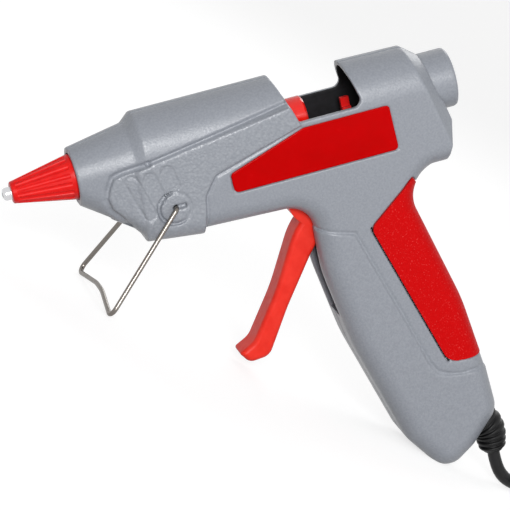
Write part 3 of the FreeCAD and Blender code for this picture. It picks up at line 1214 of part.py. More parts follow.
def coil():
    """Outer shape of the lead's coil, wound flat beside the gun."""
    half = COIL_TURNS_ACROSS * LEAD_RADIUS
    low = LEAD_ROUTE[-1][2] - LEAD_RADIUS
    high = low + 2 * LEAD_RADIUS * COIL_LAYERS
    ring = Part.makeCylinder(COIL_MEAN_RADIUS + half, high - low, vec(*COIL_CENTRE, low))
    ring = ring.cut(Part.makeCylinder(COIL_MEAN_RADIUS - half, high - low + 2, vec(*COIL_CENTRE, low - 1)))
    return ring.makeFillet(0.7 * LEAD_RADIUS, [edge for edge in ring.Edges if len(edge.Vertexes) == 1])


def plug_place(shape):
    """Moves a piece made with the plug's pins along +Y from its face to the end of the tail."""
    end = vec(*TAIL_ROUTE[-1])
    before = vec(*TAIL_ROUTE[-2])
    way = vec(end.x - before.x, end.y - before.y, 0).normalize()
    shape = shape.copy()
    shape.rotate(vec(0, 0, 0), vec(0, 0, 1), math.degrees(math.atan2(way.y, way.x)) - 90.0)
    shape.translate(end.add(way.multiply(PLUG_LENGTH)))
    return shape


def plug():
    """Flat two-pin plug: moulded body, insulating sleeves and pins."""
    wide, back = PLUG_WIDTH / 2, PLUG_BACK_WIDTH / 2
    neck_y = PLUG_NECK_LENGTH - PLUG_LENGTH
    outline = [(-wide, 0.0, 0.0), (-wide, neck_y * 0.42, 9.0), (-back, neck_y, 3.0), (back, neck_y, 3.0),
               (wide, neck_y * 0.42, 9.0), (wide, 0.0, 0.0)]
    body = Part.Face(outline_wire([(vec(x, y, -PLUG_THICK / 2), radius) for x, y, radius in outline]))
    body = body.extrude(vec(0, 0, PLUG_THICK))
    rims = [e for e in body.Edges if e.BoundBox.ZLength < 1e-6 and e.BoundBox.YMin < -1e-6]
    body = body.makeFillet(PLUG_EDGE, rims)
    neck = Part.makeCone(LEAD_RADIUS + 0.8, PLUG_NECK_RADIUS, PLUG_NECK_LENGTH + 2.0,
                         vec(0, -PLUG_LENGTH, 0), vec(0, 1, 0))
    body = body.fuse(neck)
    pins, sleeves = [], []
    for side in (-1, 1):
        x = side * PIN_SPACING / 2
        tip = rod(PIN_RADIUS, vec(x, PIN_SLEEVE_LENGTH, 0), vec(x, PIN_LENGTH, 0))
        rim = [edge for edge in tip.Edges if edge.BoundBox.YMin > PIN_LENGTH - 0.01]
        tip = tip.makeFillet(PIN_RADIUS * 0.6, rim)
        pins.append(rod(PIN_CORE_RADIUS, vec(x, -PIN_BACK, 0), vec(x, PIN_SLEEVE_LENGTH, 0)).fuse(tip))
        sleeve = rod(PIN_RADIUS, vec(x, SEAT_GAP, 0), vec(x, PIN_SLEEVE_LENGTH - SEAT_GAP, 0))
        sleeves.append(sleeve.cut(rod(PIN_CORE_RADIUS + SEAT_GAP, vec(x, -1, 0), vec(x, PIN_LENGTH, 0))))
        body = body.cut(rod(PIN_CORE_RADIUS, vec(x, -PIN_BACK, 0), vec(x, 1, 0)))
    return [plug_place(piece) for piece in (body, Part.makeCompound(sleeves), Part.makeCompound(pins))]


# ---------------------------------------------------------------- export
STANCE, FOOT = stance()


def gun_pieces():
    """Every piece of the gun itself, in the gun's frame."""
    full = housing_full()
    ball, ball_spring = valve()
    wrap, plates, pills = heater_stack()
    label = label_panel()
    return {
        "left_housing": housing_half(full, -1),
        "right_housing": housing_half(full, 1),
        "left_label_panel": label,
        "right_label_panel": mirrored(label),
        "grip_insert": grip_insert(),
        "stick_guide": stick_guide(),
        "nozzle": nozzle(),
        "nozzle_sleeve": nozzle_sleeve(),
        "valve_ball": ball,
        "valve_spring": ball_spring,
        "melt_chamber": melt_chamber(),
        "heater_insulation": wrap,
        "heater_electrodes": plates,
        "heater_pills": pills,
        "front_support": support_ring(FRONT_SUPPORT_X),
        "rear_support": support_ring(REAR_SUPPORT_X),
        "inlet_sleeve": inlet_sleeve(),
        "sleeve_clip": sleeve_clip(),
        "trigger": trigger(),
        "trigger_pin": pivot_pin(),
        "carriage": carriage(),
        "clamp_jaw": jaw(),
        "jaw_pin": jaw_pin(),
        "return_spring": return_spring(),
        "bail": bail(),
        "lead_wires": lead_wires(),
        "splice_connectors": splices(),
        "lead_inner_end": inner_lead(),
        "cord_clamp": cord_clamp(),
        "clamp_screws": clamp_screws(),
        "strain_relief": strain_relief(),
        "housing_screws": housing_screws(),
    }


def lead_pieces():
    """The free lead, its coil and its plug, which lie on the bench."""
    body, sleeves, pins = plug()
    return {"lead": lead()[0], "lead_coil": coil(), "lead_tail": tail()[0], "plug_body": body,
            "plug_sleeves": sleeves, "plug_pins": pins}


def export_all():
    os.makedirs("parts", exist_ok=True)
    pieces = {name: on_bench(shape) for name, shape in gun_pieces().items()}
    pieces.update(lead_pieces())
    for name, shape in pieces.items():
        shape.exportStep("parts/" + name + ".step")
    for name, (tube, length, radii) in (("lead", lead()), ("lead_tail", tail())):
        print(name, "length", round(length, 1), "bend radii", [round(radius, 1) for radius in radii])


export_all()
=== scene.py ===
"""Finish of a hot-melt glue gun on its bail stand, with its lead and plug. Lengths are in metres."""
import bmesh
import bpy
import json
import math
import numpy as np
from mathutils import Euler, Matrix, Vector


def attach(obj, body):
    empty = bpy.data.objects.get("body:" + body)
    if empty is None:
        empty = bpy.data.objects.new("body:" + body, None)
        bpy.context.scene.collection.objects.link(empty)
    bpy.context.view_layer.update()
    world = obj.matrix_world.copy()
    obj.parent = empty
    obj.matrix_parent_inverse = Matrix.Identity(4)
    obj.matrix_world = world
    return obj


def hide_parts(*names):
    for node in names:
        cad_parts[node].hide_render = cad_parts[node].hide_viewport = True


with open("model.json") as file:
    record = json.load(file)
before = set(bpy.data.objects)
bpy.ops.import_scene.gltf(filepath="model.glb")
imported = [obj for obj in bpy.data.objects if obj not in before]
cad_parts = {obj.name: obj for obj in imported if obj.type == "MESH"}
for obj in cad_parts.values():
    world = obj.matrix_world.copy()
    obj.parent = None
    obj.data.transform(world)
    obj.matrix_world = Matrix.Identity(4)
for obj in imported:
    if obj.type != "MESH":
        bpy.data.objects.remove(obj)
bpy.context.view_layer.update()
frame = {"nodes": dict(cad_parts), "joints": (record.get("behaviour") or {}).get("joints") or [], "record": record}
nodes = frame["nodes"]

# ---------------------------------------------------------------- camera
# Long lens, low in front of the gun's left side and rolled, so that the gun's axis runs up to the right.
# Its place and turn are in the frame that the gun stands in.
CAMERA_PLACE = Vector((-0.6223, -1.24176, 0.24989))
CAMERA_TURN = Euler([math.radians(turn) for turn in (80.0073, -28.9595, -17.3741)])
camera_data = bpy.data.cameras.new("camera")
camera_data.sensor_width = 36.0
camera_data.lens = 232.94
camera_data.clip_end = 60.0
camera = bpy.data.objects.new("camera", camera_data)
camera.location = CAMERA_PLACE
camera.rotation_euler = CAMERA_TURN
bpy.context.scene.collection.objects.link(camera)
bpy.context.scene.camera = camera

# ---------------------------------------------------------------- mains lead
# Round two-core lead in black PVC: out of the boot, straight down to the bench and away behind the gun,
# wound flat in two layers, then back over the coil to the plug. The sheath is extruded over its cores.
LEAD_RADIUS = 0.00275
LEAD_START = [(0.026252, 0.0, 0.012340), (0.031493, 0.0, 0.006296)]
LEAD_ROUTE = [(0.0391, 0.0, 0.0028), (0.0500, 0.0045, 0.0028), (0.0610, 0.0155, 0.0028),
              (0.0750, 0.0240, 0.0028), (0.0920, 0.0235, 0.0028)]
COIL_CENTRE = Vector((0.092, -0.013))
COIL_OUTER, COIL_PITCH = 0.0365, 0.0055      # radius of the outer turn, and from one turn to the next
COIL_START = 90.0                            # degrees round the coil where the lead joins it
COIL_SWEEP = 2067.0                          # degrees wound, clockwise seen from above
COIL_STEP = 19.5
TURN_CHANGES = [(320, 360, -1, 0), (680, 720, -1, 0), (1020, 1060, 0, 1), (1360, 1400, 1, 0),
                (1720, 1760, 1, 0)]          # from, to, turns outward and layers up
TAIL_ROUTE = [(0.0559, -0.0151, 0.0083), (0.0559, -0.0028, 0.0095), (0.0606, 0.0086, 0.0119),
              (0.0693, 0.0173, 0.0139), (0.0807, 0.0220, 0.0147), (0.0931, 0.0220, 0.0155),
              (0.1045, 0.0173, 0.0163), (0.1132, 0.0086, 0.0172), (0.1179, -0.0028, 0.0179),
              (0.1179, -0.0128, 0.0179)]


def coil_point(swept):
    """Point of the coil's middle line after so many degrees of winding."""
    radius, height = COIL_OUTER, LEAD_ROUTE[-1][2]
    for begin, end, outward, up in TURN_CHANGES:
        share = min(1.0, max(0.0, (swept - begin) / (end - begin)))
        share = share * share * (3.0 - 2.0 * share)
        radius += outward * COIL_PITCH * share
        height += up * COIL_PITCH * share
    turn = math.radians(COIL_START - swept)
    radius /= math.cos(math.radians(COIL_STEP) / 2)
    return (COIL_CENTRE.x + radius * math.cos(turn), COIL_CENTRE.y + radius * math.sin(turn), height)


coil_points = [coil_point(COIL_STEP * i) for i in range(1, int(COIL_SWEEP / COIL_STEP))]
lead_points = LEAD_START + LEAD_ROUTE + coil_points + TAIL_ROUTE
lead_curve = bpy.data.curves.new("mains_lead", "CURVE")
lead_curve.dimensions = "3D"
lead_curve.bevel_depth = LEAD_RADIUS
lead_curve.bevel_resolution = 4
lead_curve.resolution_u = 4
lead_curve.use_fill_caps = True
lead_line = lead_curve.splines.new("NURBS")
lead_line.points.add(len(lead_points) - 1)
for point, place in zip(lead_line.points, lead_points):
    point.co = (*place, 1.0)
lead_line.order_u = 3
lead_line.use_endpoint_u = True
mains_lead = bpy.data.objects.new("mains_lead", lead_curve)
bpy.context.scene.collection.objects.link(mains_lead)


def card_colour(red, green, blue):
    """Colour from its values on a colour card, 0 to 255, in the shader's linear light."""
    values = []
    for value in (red, green, blue):
        share = value / 255.0
        values.append(share / 12.92 if share <= 0.04045 else ((share + 0.055) / 1.055) ** 2.4)
    return (*values, 1.0)


class Finish:
    """A material under way: its shader, and the nodes that give it grain, colour and wear."""

    def __init__(self, name, colour, roughness, **sockets):
        self.material = bpy.data.materials.new(name)
        self.material.use_nodes = True
        self.tree = self.material.node_tree
        self.shader = self.tree.nodes["Principled BSDF"]
        self.shader.inputs["Base Color"].default_value = colour
        self.shader.inputs["Roughness"].default_value = roughness
        for socket, value in sockets.items():
            self.shader.inputs[socket.replace("_", " ")].default_value = value
        self.place = self.tree.nodes.new("ShaderNodeTexCoord").outputs["Object"]
        self.height = None

    def node(self, kind, inputs, **settings):
        """A node with its settings, its inputs given as values or as other nodes' outputs."""
        made = self.tree.nodes.new(kind)
        for name, value in settings.items():
            setattr(made, name, value)
        for socket, value in inputs.items():
            if isinstance(value, bpy.types.NodeSocket):
                self.tree.links.new(value, made.inputs[socket])
            else:
                made.inputs[socket].default_value = value
        return made

    def noise(self, size, detail=3.0, rough=0.55):
        """Cloudy pattern whose patches are about this size across."""
        inputs = {"Vector": self.place, "Scale": 1.0 / size, "Detail": detail, "Roughness": rough}
        return self.node("ShaderNodeTexNoise", inputs).outputs["Fac"]

    def cells(self, size):
        """Pebble pattern whose cells are about this size across."""
        inputs = {"Vector": self.place, "Scale": 1.0 / size}
        return self.node("ShaderNodeTexVoronoi", inputs, feature="F1").outputs["Distance"]

    def ramp(self, value, low, high, to_low=0.0, to_high=1.0):
        """Value stretched between two limits."""
        inputs = {"Value": value, "From Min": low, "From Max": high, "To Min": to_low, "To Max": to_high}
        return self.node("ShaderNodeMapRange", inputs).outputs["Result"]

    def colours(self, share, first, second):
        """Base colour mixed from two colours by a pattern."""
        mix = self.node("ShaderNodeMix", {}, data_type="RGBA")
        self.tree.links.new(share, mix.inputs["Factor"])
        for socket, colour in (("A", first), ("B", second)):
            place = [s for s in mix.inputs if s.name == socket and s.type == "RGBA"][0]
            if isinstance(colour, bpy.types.NodeSocket):
                self.tree.links.new(colour, place)
            else:
                place.default_value = colour
        out = [s for s in mix.outputs if s.type == "RGBA"][0]
        self.tree.links.new(out, self.shader.inputs["Base Color"])
        return out

    def gloss(self, value):
        """Roughness from a pattern."""
        self.tree.links.new(value, self.shader.inputs["Roughness"])

    def bump(self, value, depth, strength=1.0):
        """Relief of this depth from a pattern, on top of any before it."""
        made = self.node("ShaderNodeBump", {"Height": value, "Distance": depth, "Strength": strength})
        if self.height is not None:
            self.tree.links.new(self.height, made.inputs["Normal"])
        self.height = made.outputs["Normal"]
        self.tree.links.new(self.height, self.shader.inputs["Normal"])


sheath = Finish("black_pvc_sheath", card_colour(14, 14, 15), 0.38, Specular_IOR_Level=0.3)
sheath.colours(sheath.ramp(sheath.noise(0.006), 0.35, 0.7), card_colour(12, 12, 13), card_colour(19, 19, 21))
sheath.gloss(sheath.ramp(sheath.noise(0.0015), 0.3, 0.7, 0.32, 0.5))
sheath.bump(sheath.noise(0.0012), 0.00006)
lead_curve.materials.append(sheath.material)
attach(mains_lead, "housing")
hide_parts("lead", "lead_coil", "lead_tail")


# ---------------------------------------------------------------- plug
# Flat two-pin mains plug, moulded in one piece on the lead's end in black PVC with soft edges. Its pins are
# nickel-plated brass, in black sleeves for half of their length.
def dress(finish, *names):
    """Gives CAD nodes a finish in place of their plain one."""
    for name in names:
        for slot in nodes[name].material_slots:
            slot.material = finish.material


plug_black = Finish("black_moulded_plug", card_colour(28, 28, 30), 0.42, Specular_IOR_Level=0.45)
plug_black.colours(plug_black.ramp(plug_black.noise(0.009), 0.35, 0.7), card_colour(24, 24, 26),
                   card_colour(36, 36, 39))
plug_black.gloss(plug_black.ramp(plug_black.noise(0.002), 0.3, 0.7, 0.36, 0.54))
plug_black.bump(plug_black.noise(0.0007), 0.00005)
dress(plug_black, "plug_body", "plug_sleeves")
plated = Finish("nickel_plate", card_colour(196, 192, 182), 0.24, Metallic=1.0)
plated.gloss(plated.ramp(plated.noise(0.0016), 0.3, 0.7, 0.16, 0.34))
plated.bump(plated.noise(0.0004), 0.00001)
dress(plated, "plug_pins")


# ---------------------------------------------------------------- melt chamber and heater
# Die-cast aluminium chamber with two ceramic heater pills clamped between brass plates, wrapped in polyimide
# film. It sits in two heat-resistant supports. Scale from the heat has dulled the casting.
cast = Finish("cast_aluminium", card_colour(168, 168, 166), 0.46, Metallic=1.0)
cast.colours(cast.ramp(cast.noise(0.008), 0.4, 0.65), card_colour(150, 148, 142), card_colour(182, 182, 180))
cast.gloss(cast.ramp(cast.noise(0.002), 0.3, 0.7, 0.38, 0.6))
cast.bump(cast.noise(0.0009), 0.00008)
dress(cast, "melt_chamber")
film = Finish("polyimide_film", card_colour(176, 112, 34), 0.3, Coat_Weight=0.4)
film.colours(film.ramp(film.noise(0.005), 0.35, 0.7), card_colour(160, 96, 26), card_colour(190, 126, 44))
dress(film, "heater_insulation")
brass = Finish("heater_brass", card_colour(206, 172, 96), 0.32, Metallic=1.0)
brass.gloss(brass.ramp(brass.noise(0.002), 0.3, 0.7, 0.25, 0.45))
dress(brass, "heater_electrodes")
ceramic = Finish("heater_ceramic", card_colour(214, 206, 190), 0.6)
ceramic.colours(ceramic.ramp(ceramic.noise(0.0008), 0.4, 0.6), card_colour(200, 190, 172),
                card_colour(224, 218, 204))
ceramic.bump(ceramic.noise(0.0004), 0.00003)
dress(ceramic, "heater_pills")
support = Finish("heat_resistant_support", card_colour(58, 46, 40), 0.55)
support.colours(support.ramp(support.noise(0.0015), 0.4, 0.6), card_colour(50, 40, 34),
                card_colour(72, 58, 50))
support.bump(support.noise(0.0006), 0.00005)
dress(support, "front_support", "rear_support")

# ---------------------------------------------------------------- nozzle and valve
# Steel nozzle, turned and polished at its tip, screwed into the chamber, with a steel ball and a light
# spring inside. Only the rounded tip shows beyond the sleeve.
tip_steel = Finish("polished_nozzle_steel", card_colour(214, 214, 216), 0.16, Metallic=1.0)
tip_steel.gloss(tip_steel.ramp(tip_steel.noise(0.0012), 0.3, 0.7, 0.1, 0.24))
tip_steel.bump(tip_steel.noise(0.0003), 0.000006)
dress(tip_steel, "nozzle", "valve_ball", "valve_spring")

# ---------------------------------------------------------------- nozzle sleeve and inlet sleeve
# Bright red silicone: the fluted cone pushed over the nozzle, and the smooth tube that takes the stick from
# the loading slot into the chamber, held by a spring wire clip. Moulded, slightly glossy, a little clear.
silicone = Finish("red_silicone", card_colour(224, 20, 18), 0.34, Subsurface_Weight=0.12,
                  Subsurface_Radius=(0.002, 0.0006, 0.0005), Subsurface_Scale=0.6, Specular_IOR_Level=0.2)
silicone.colours(silicone.ramp(silicone.noise(0.004), 0.35, 0.7), card_colour(220, 16, 16),
                 card_colour(230, 28, 24))
silicone.gloss(silicone.ramp(silicone.noise(0.0015), 0.3, 0.7, 0.26, 0.42))
silicone.bump(silicone.noise(0.0005), 0.00002)
dress(silicone, "nozzle_sleeve")
tube_red = Finish("glossy_silicone_tube", card_colour(236, 22, 10), 0.16, Subsurface_Weight=0.12,
                  Subsurface_Radius=(0.002, 0.0006, 0.0005), Subsurface_Scale=0.6)
tube_red.colours(tube_red.ramp(tube_red.noise(0.004), 0.35, 0.7), card_colour(233, 18, 8),
                 card_colour(241, 30, 16))
tube_red.gloss(tube_red.ramp(tube_red.noise(0.002), 0.3, 0.7, 0.12, 0.2))
dress(tube_red, "inlet_sleeve")
spring_steel = Finish("spring_steel", card_colour(176, 178, 182), 0.26, Metallic=1.0)
spring_steel.gloss(spring_steel.ramp(spring_steel.noise(0.002), 0.3, 0.7, 0.2, 0.4))
dress(spring_steel, "sleeve_clip", "return_spring", "trigger_pin", "jaw_pin")

# ---------------------------------------------------------------- feed
# Acetal carriage that slides in rails of the housing, with a red toothed jaw that tips against the stick.
slide = Finish("acetal_slide", card_colour(222, 220, 212), 0.4)
slide.colours(slide.ramp(slide.noise(0.004), 0.35, 0.7), card_colour(212, 210, 200),
              card_colour(230, 228, 222))
slide.bump(slide.noise(0.0006), 0.00002)
dress(slide, "carriage")
jaw_red = Finish("red_jaw", card_colour(222, 16, 14), 0.36)
jaw_red.colours(jaw_red.ramp(jaw_red.noise(0.003), 0.35, 0.7), card_colour(216, 12, 12),
                card_colour(228, 22, 18))
jaw_red.bump(jaw_red.noise(0.0005), 0.00002)
dress(jaw_red, "clamp_jaw")

# ---------------------------------------------------------------- wiring and fasteners
# Silicone-covered wires from the heater to crimped splices on the lead's cores, a clamp bar over the sheath
# and plated screws from the right-hand side.
insulation = Finish("wire_insulation", card_colour(224, 222, 214), 0.5)
insulation.colours(insulation.ramp(insulation.noise(0.0012), 0.4, 0.6), card_colour(214, 210, 200),
                   card_colour(232, 230, 224))
insulation.bump(insulation.cells(0.0006), 0.00003)
dress(insulation, "lead_wires")
splice = Finish("splice_sleeve", card_colour(60, 84, 150), 0.4)
splice.colours(splice.ramp(splice.noise(0.003), 0.35, 0.7), card_colour(54, 76, 140),
               card_colour(70, 96, 164))
dress(splice, "splice_connectors")
dress(sheath, "lead_inner_end")
plain_black = Finish("black_nylon", card_colour(36, 36, 38), 0.5)
plain_black.bump(plain_black.noise(0.0006), 0.00003)
plain_black.colours(plain_black.noise(0.004), card_colour(30, 30, 32), card_colour(44, 44, 46))
dress(plain_black, "cord_clamp")
screw_plate = Finish("zinc_plated_screw", card_colour(186, 188, 190), 0.3, Metallic=1.0)
screw_plate.gloss(screw_plate.ramp(screw_plate.noise(0.001), 0.3, 0.7, 0.22, 0.42))
screw_plate.bump(screw_plate.noise(0.0005), 0.00002)
dress(screw_plate, "housing_screws", "clamp_screws")

# ---------------------------------------------------------------- housing
# Two moulded halves in grey-blue glass-filled nylon with a fine spark texture. A raised side panel has a
# coarse leather grain, grooves round it and marks in it. The mould leaves every edge a little round.
feed = [joint for joint in frame["joints"] if joint["name"] == "carriage_feed"][0]
REARWARD = -Vector(feed["axis"]).normalized()            # along the stick's axis
RISE = Vector((-REARWARD.z, 0.0, REARWARD.x))            # away from the grip
TIP_LENGTH = 0.0035
tip_mount = [mount for mount in frame["record"]["mounts"] if mount["name"] == "nozzle_tip"][0]
AXIS_START = Vector(tip_mount["pos_m"]) + REARWARD * TIP_LENGTH
MM = 0.001
SHELL_VOXEL = 0.00042
SHELL_PASSES = 4                                         # rounds of smoothing
SHELL_KEPT = 0.32                                        # share of the even mesh's triangles kept
PANEL_OUTLINE = [(116.0, 10.9), (118.2, 1.6), (80.0, -8.7), (74.0, -16.6), (70.8, -40.0), (30.0, -40.0),
                 (37.5, -16.5), (34.8, -8.5), (38.5, -0.6), (54.0, 1.6)]     # side view, along and up


def rows_of(items, name):
    """One vector of each of a mesh's vertices or faces, in rows."""
    values = np.empty(len(items) * 3)
    items.foreach_get(name, values)
    return values.reshape(-1, 3)


def side_view(points):
    """Distances along the stick's axis and above it, in millimetres, of points in rows."""
    offset = points - np.array(AXIS_START)
    return offset @ np.array(REARWARD) / MM, offset @ np.array(RISE) / MM


def softened(name, node, voxel, passes):
    """Copy of a CAD piece on an even mesh, with its creases rounded as a mould leaves them."""
    shell = bmesh.new()
    shell.from_mesh(nodes[node].data)
    bmesh.ops.remove_doubles(shell, verts=shell.verts, dist=0.000001)
    data = bpy.data.meshes.new(name)
    shell.to_mesh(data)
    shell.free()
    piece = bpy.data.objects.new(name, data)
    bpy.context.scene.collection.objects.link(piece)
    even = piece.modifiers.new("even", "REMESH")
    even.mode = "VOXEL"
    even.voxel_size = voxel
    evaluated = piece.evaluated_get(bpy.context.evaluated_depsgraph_get())
    shell = bmesh.new()
    shell.from_mesh(evaluated.to_mesh())
    evaluated.to_mesh_clear()
    piece.modifiers.remove(even)
    for _ in range(passes):
        bmesh.ops.smooth_vert(shell, verts=shell.verts, factor=0.5, use_axis_x=True, use_axis_y=True,
                              use_axis_z=True)
    shell.to_mesh(data)
    shell.free()
    data.polygons.foreach_set("use_smooth", [True] * len(data.polygons))
    return piece


def thin_out(piece, kept):
    """Leaves this share of a piece's triangles, most of them where it bends."""
    lean = piece.modifiers.new("lean", "DECIMATE")
    lean.ratio = kept
    evaluated = piece.evaluated_get(bpy.context.evaluated_depsgraph_get())
    piece.data = bpy.data.meshes.new_from_object(evaluated)
    piece.modifiers.remove(piece.modifiers["lean"])
    piece.data.polygons.foreach_set("use_smooth", [True] * len(piece.data.polygons))


def line_distance(along, up, route):
    """Distance in the side view from each point to a route of straight runs."""
    nearest = np.full(along.shape, 1e9)
    for (x0, z0), (x1, z1) in zip(route, route[1:]):
        run = np.array((x1 - x0, z1 - z0))
        share = np.clip(((along - x0) * run[0] + (up - z0) * run[1]) / run.dot(run), 0.0, 1.0)
        nearest = np.minimum(nearest, np.hypot(along - x0 - share * run[0], up - z0 - share * run[1]))
    return nearest


def press_groove(piece, side, route, width, depth, floor=0.0):
    """Presses a rounded groove along a side-view route into the outside of one side of a shell."""
    data = piece.data
    places = rows_of(data.vertices, "co")
    normals = rows_of(data.vertices, "normal")
    along, up = side_view(places)
    share = np.clip(1.0 - line_distance(along, up, route) / width, 0.0, 1.0)
    share = share * share * (3.0 - 2.0 * share)
    outside = (places[:, 1] * side > floor) & (normals[:, 1] * side > 0.15)
    places -= normals * (share * outside * depth)[:, None]
    data.vertices.foreach_set("co", places.ravel())
    data.update()


def inside_outline(along, up, outline):
    """Whether each side-view point is inside a closed outline."""
    inside = np.zeros(along.shape, bool)
    for (x0, z0), (x1, z1) in zip(outline, outline[1:] + outline[:1]):
        if z0 != z1:
            crosses = (z0 > up) != (z1 > up)
            inside ^= crosses & (along < (x1 - x0) * (up - z0) / (z1 - z0) + x0)
    return inside


shell_grey = Finish("grey_spark_texture", card_colour(137, 141, 149), 0.37, Specular_IOR_Level=0.65)
shell_grey.colours(shell_grey.ramp(shell_grey.noise(0.0009), 0.35, 0.65), card_colour(132, 136, 144),
                   card_colour(142, 146, 154))
shell_grey.gloss(shell_grey.ramp(shell_grey.noise(0.0007), 0.3, 0.7, 0.3, 0.42))
shell_grey.bump(shell_grey.noise(0.0008, 4.0, 0.6), 0.00012)
panel_grey = Finish("grey_leather_grain", card_colour(142, 146, 153), 0.4, Specular_IOR_Level=0.75)
panel_grey.colours(panel_grey.ramp(panel_grey.cells(0.0013), 0.1, 0.7), card_colour(146, 150, 157),
                   card_colour(134, 138, 146))
panel_grey.gloss(panel_grey.ramp(panel_grey.noise(0.001), 0.3, 0.7, 0.32, 0.46))
panel_grey.bump(panel_grey.cells(0.0011), 0.00016)
panel_grey.bump(panel_grey.noise(0.0006), 0.00006)
# Painted shade: a near-black grey that stands in for the shade on inner faces seen past the seam, and in the gap
# in front of the grip insert.
painted_shade_grey = Finish("unlit_inside_grey", card_colour(24, 24, 26), 0.62, Specular_IOR_Level=0.2)
painted_shade_grey.colours(painted_shade_grey.ramp(painted_shade_grey.noise(0.003), 0.35, 0.7), card_colour(20, 20, 22),
                    card_colour(30, 30, 33))
painted_shade_grey.bump(painted_shade_grey.noise(0.0012), 0.00005)


def arc_route(centre, radius, first, last):
    """Route along an arc of the side view, between two angles in degrees."""
    turns = [math.radians(first + (last - first) * i / 16) for i in range(17)]
    return [(centre[0] + radius * math.cos(turn), centre[1] + radius * math.sin(turn)) for turn in turns]


def capsule_route(start, end, radius):
    """Closed route round a line of the side view, with round ends."""
    lean = math.degrees(math.atan2(end[1] - start[1], end[0] - start[0]))
    route = arc_route(end, radius, lean - 90, lean + 90) + arc_route(start, radius, lean + 90, lean + 270)
    return route + route[:1]


PIVOT_BOSS = (61.2, -18.4)
BOSS_GROOVE = 6.7
INSERT_FRONT = [(139.5, -49.4), (161.6, -115.6)]
INSERT_SHADE_HALF = 0.45                                        # half the width of the band of painted shadow in the gap in front of the insert
CAPSULES = [((45.9, -3.5), (50.6, -18.1)), ((53.5, -3.7), (55.4, -12.8)), ((60.8, -2.7), (62.1, -9.0))]
CAPSULE_ROUND = 2.5
# Side-view route, half the width in millimetres, depth, and how far out from the seam the groove starts.
GROOVES = [([(54.0, 2.8), (80.0, 6.7), (116.5, 12.3)], 1.3, 0.0010, 0.010),
           ([(117.9, 1.1), (80.3, -9.9), (75.0, -17.2), (72.2, -36.0)], 1.0, 0.0006, 0.012),
           ([(54.0, 2.7), (43.3, 1.4), (39.0, 0.2), (36.4, -4.6), (35.1, -9.0), (36.0, -13.9), (39.3, -17.9),
             (43.0, -24.0)], 1.7, 0.0011, 0.006),
           ([(118.0, -45.0), (132.3, -49.4), (137.6, -65.6), (146.2, -91.0), (150.7, -105.4), (153.5, -114.0),
             (156.5, -119.0), (161.0, -121.3), (166.7, -122.6), (176.0, -122.4)], 1.2, 0.0005, 0.006),
           (INSERT_FRONT, 1.0, 0.0014, 0.004),
           ([(86.2, -11.0), (86.2, -18.8), (156.5, -18.8)], 0.6, 0.0004, 0.012),
           (arc_route(PIVOT_BOSS, BOSS_GROOVE, -180.0, 180.0), 0.8, 0.0004, 0.012),
           (arc_route(PIVOT_BOSS, BOSS_GROOVE, 95.0, 245.0), 0.9, 0.0006, 0.012)]
GROOVES += [(capsule_route(start, end, CAPSULE_ROUND), 0.9, 0.00035, 0.010) for start, end in CAPSULES]
PANEL_OUT = 0.012                                        # the grained panel lies farther out than this
SEAM_OUT, INNER_OUT = 0.0008, 0.0152                     # between them, faces turned to the seam get painted shade
SLOT_TOP, SLOT_BACK, SLOT_LEAN = -30.0, 146.0, 0.2       # side view of the trigger's slot in the grip
for side, node in ((-1, "left_housing"), (1, "right_housing")):
    half = softened(node + "_skin", node, SHELL_VOXEL, SHELL_PASSES)
    for route, width, depth, floor in GROOVES:
        press_groove(half, side, route, width, depth, floor)
    thin_out(half, SHELL_KEPT)
    for finish in (shell_grey, panel_grey, painted_shade_grey):
        half.data.materials.append(finish.material)
    centres = rows_of(half.data.polygons, "center")
    facing = rows_of(half.data.polygons, "normal")[:, 1] * side
    out = centres[:, 1] * side
    along, up = side_view(centres)
    grained = inside_outline(along, up, PANEL_OUTLINE) & (out > PANEL_OUT) & (facing > -0.5)
    in_slot = (up < SLOT_TOP) & (along < SLOT_BACK - SLOT_LEAN * (up - SLOT_TOP))
    # Painted shade on inner faces turned to the seam, outside the trigger's slot.
    painted_shade = (facing < -0.2) & (out > SEAM_OUT) & (out < INNER_OUT) & ~in_slot
    # Painted shadow: faces along the gap in front of the insert take the near-black grey.
    painted_shade |= line_distance(along, up, INSERT_FRONT) < INSERT_SHADE_HALF
    finish_index = np.where(painted_shade, 2, grained.astype(int)).astype(np.int32)
    half.data.polygons.foreach_set("material_index", finish_index)
    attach(half, "housing")
    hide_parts(node)

# ---------------------------------------------------------------- collar and stick guide
# Round collar behind the rear hood in the housing's grey, in one piece with the guide tube inside.
dress(shell_grey, "stick_guide")

# ---------------------------------------------------------------- label panels
# Glossy deep red plastic inserts in pockets on both sides, with round edges, left bare.
label_red = Finish("glossy_deep_red", card_colour(186, 0, 1), 0.2, Specular_IOR_Level=0.04)
label_red.colours(label_red.ramp(label_red.noise(0.012), 0.35, 0.7), card_colour(182, 0, 0),
                  card_colour(191, 0, 2))
label_red.gloss(label_red.ramp(label_red.noise(0.006), 0.3, 0.7, 0.18, 0.28))
label_red.bump(label_red.noise(0.008), 0.00003)
dress(label_red, "left_label_panel", "right_label_panel")
for node in ("left_label_panel", "right_label_panel"):
    label = softened(node + "_skin", node, 0.0003, 3)
    label.data.materials.append(label_red.material)
    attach(label, "housing")
    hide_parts(node)

# ---------------------------------------------------------------- grip insert
# Soft red rubber wrapped round the back of the grip, with a fine rough skin.
grip_red = Finish("soft_red_rubber", card_colour(202, 0, 2), 0.5, Specular_IOR_Level=0.08,
                  Sheen_Weight=0.04, Sheen_Roughness=0.5)
grip_red.colours(grip_red.ramp(grip_red.noise(0.0006, 2.0), 0.62, 0.72), card_colour(200, 0, 2),
                 card_colour(226, 60, 58))
grip_red.gloss(grip_red.ramp(grip_red.noise(0.0008), 0.3, 0.7, 0.42, 0.6))
grip_red.bump(grip_red.noise(0.0006), 0.00012)
dress(grip_red, "grip_insert")

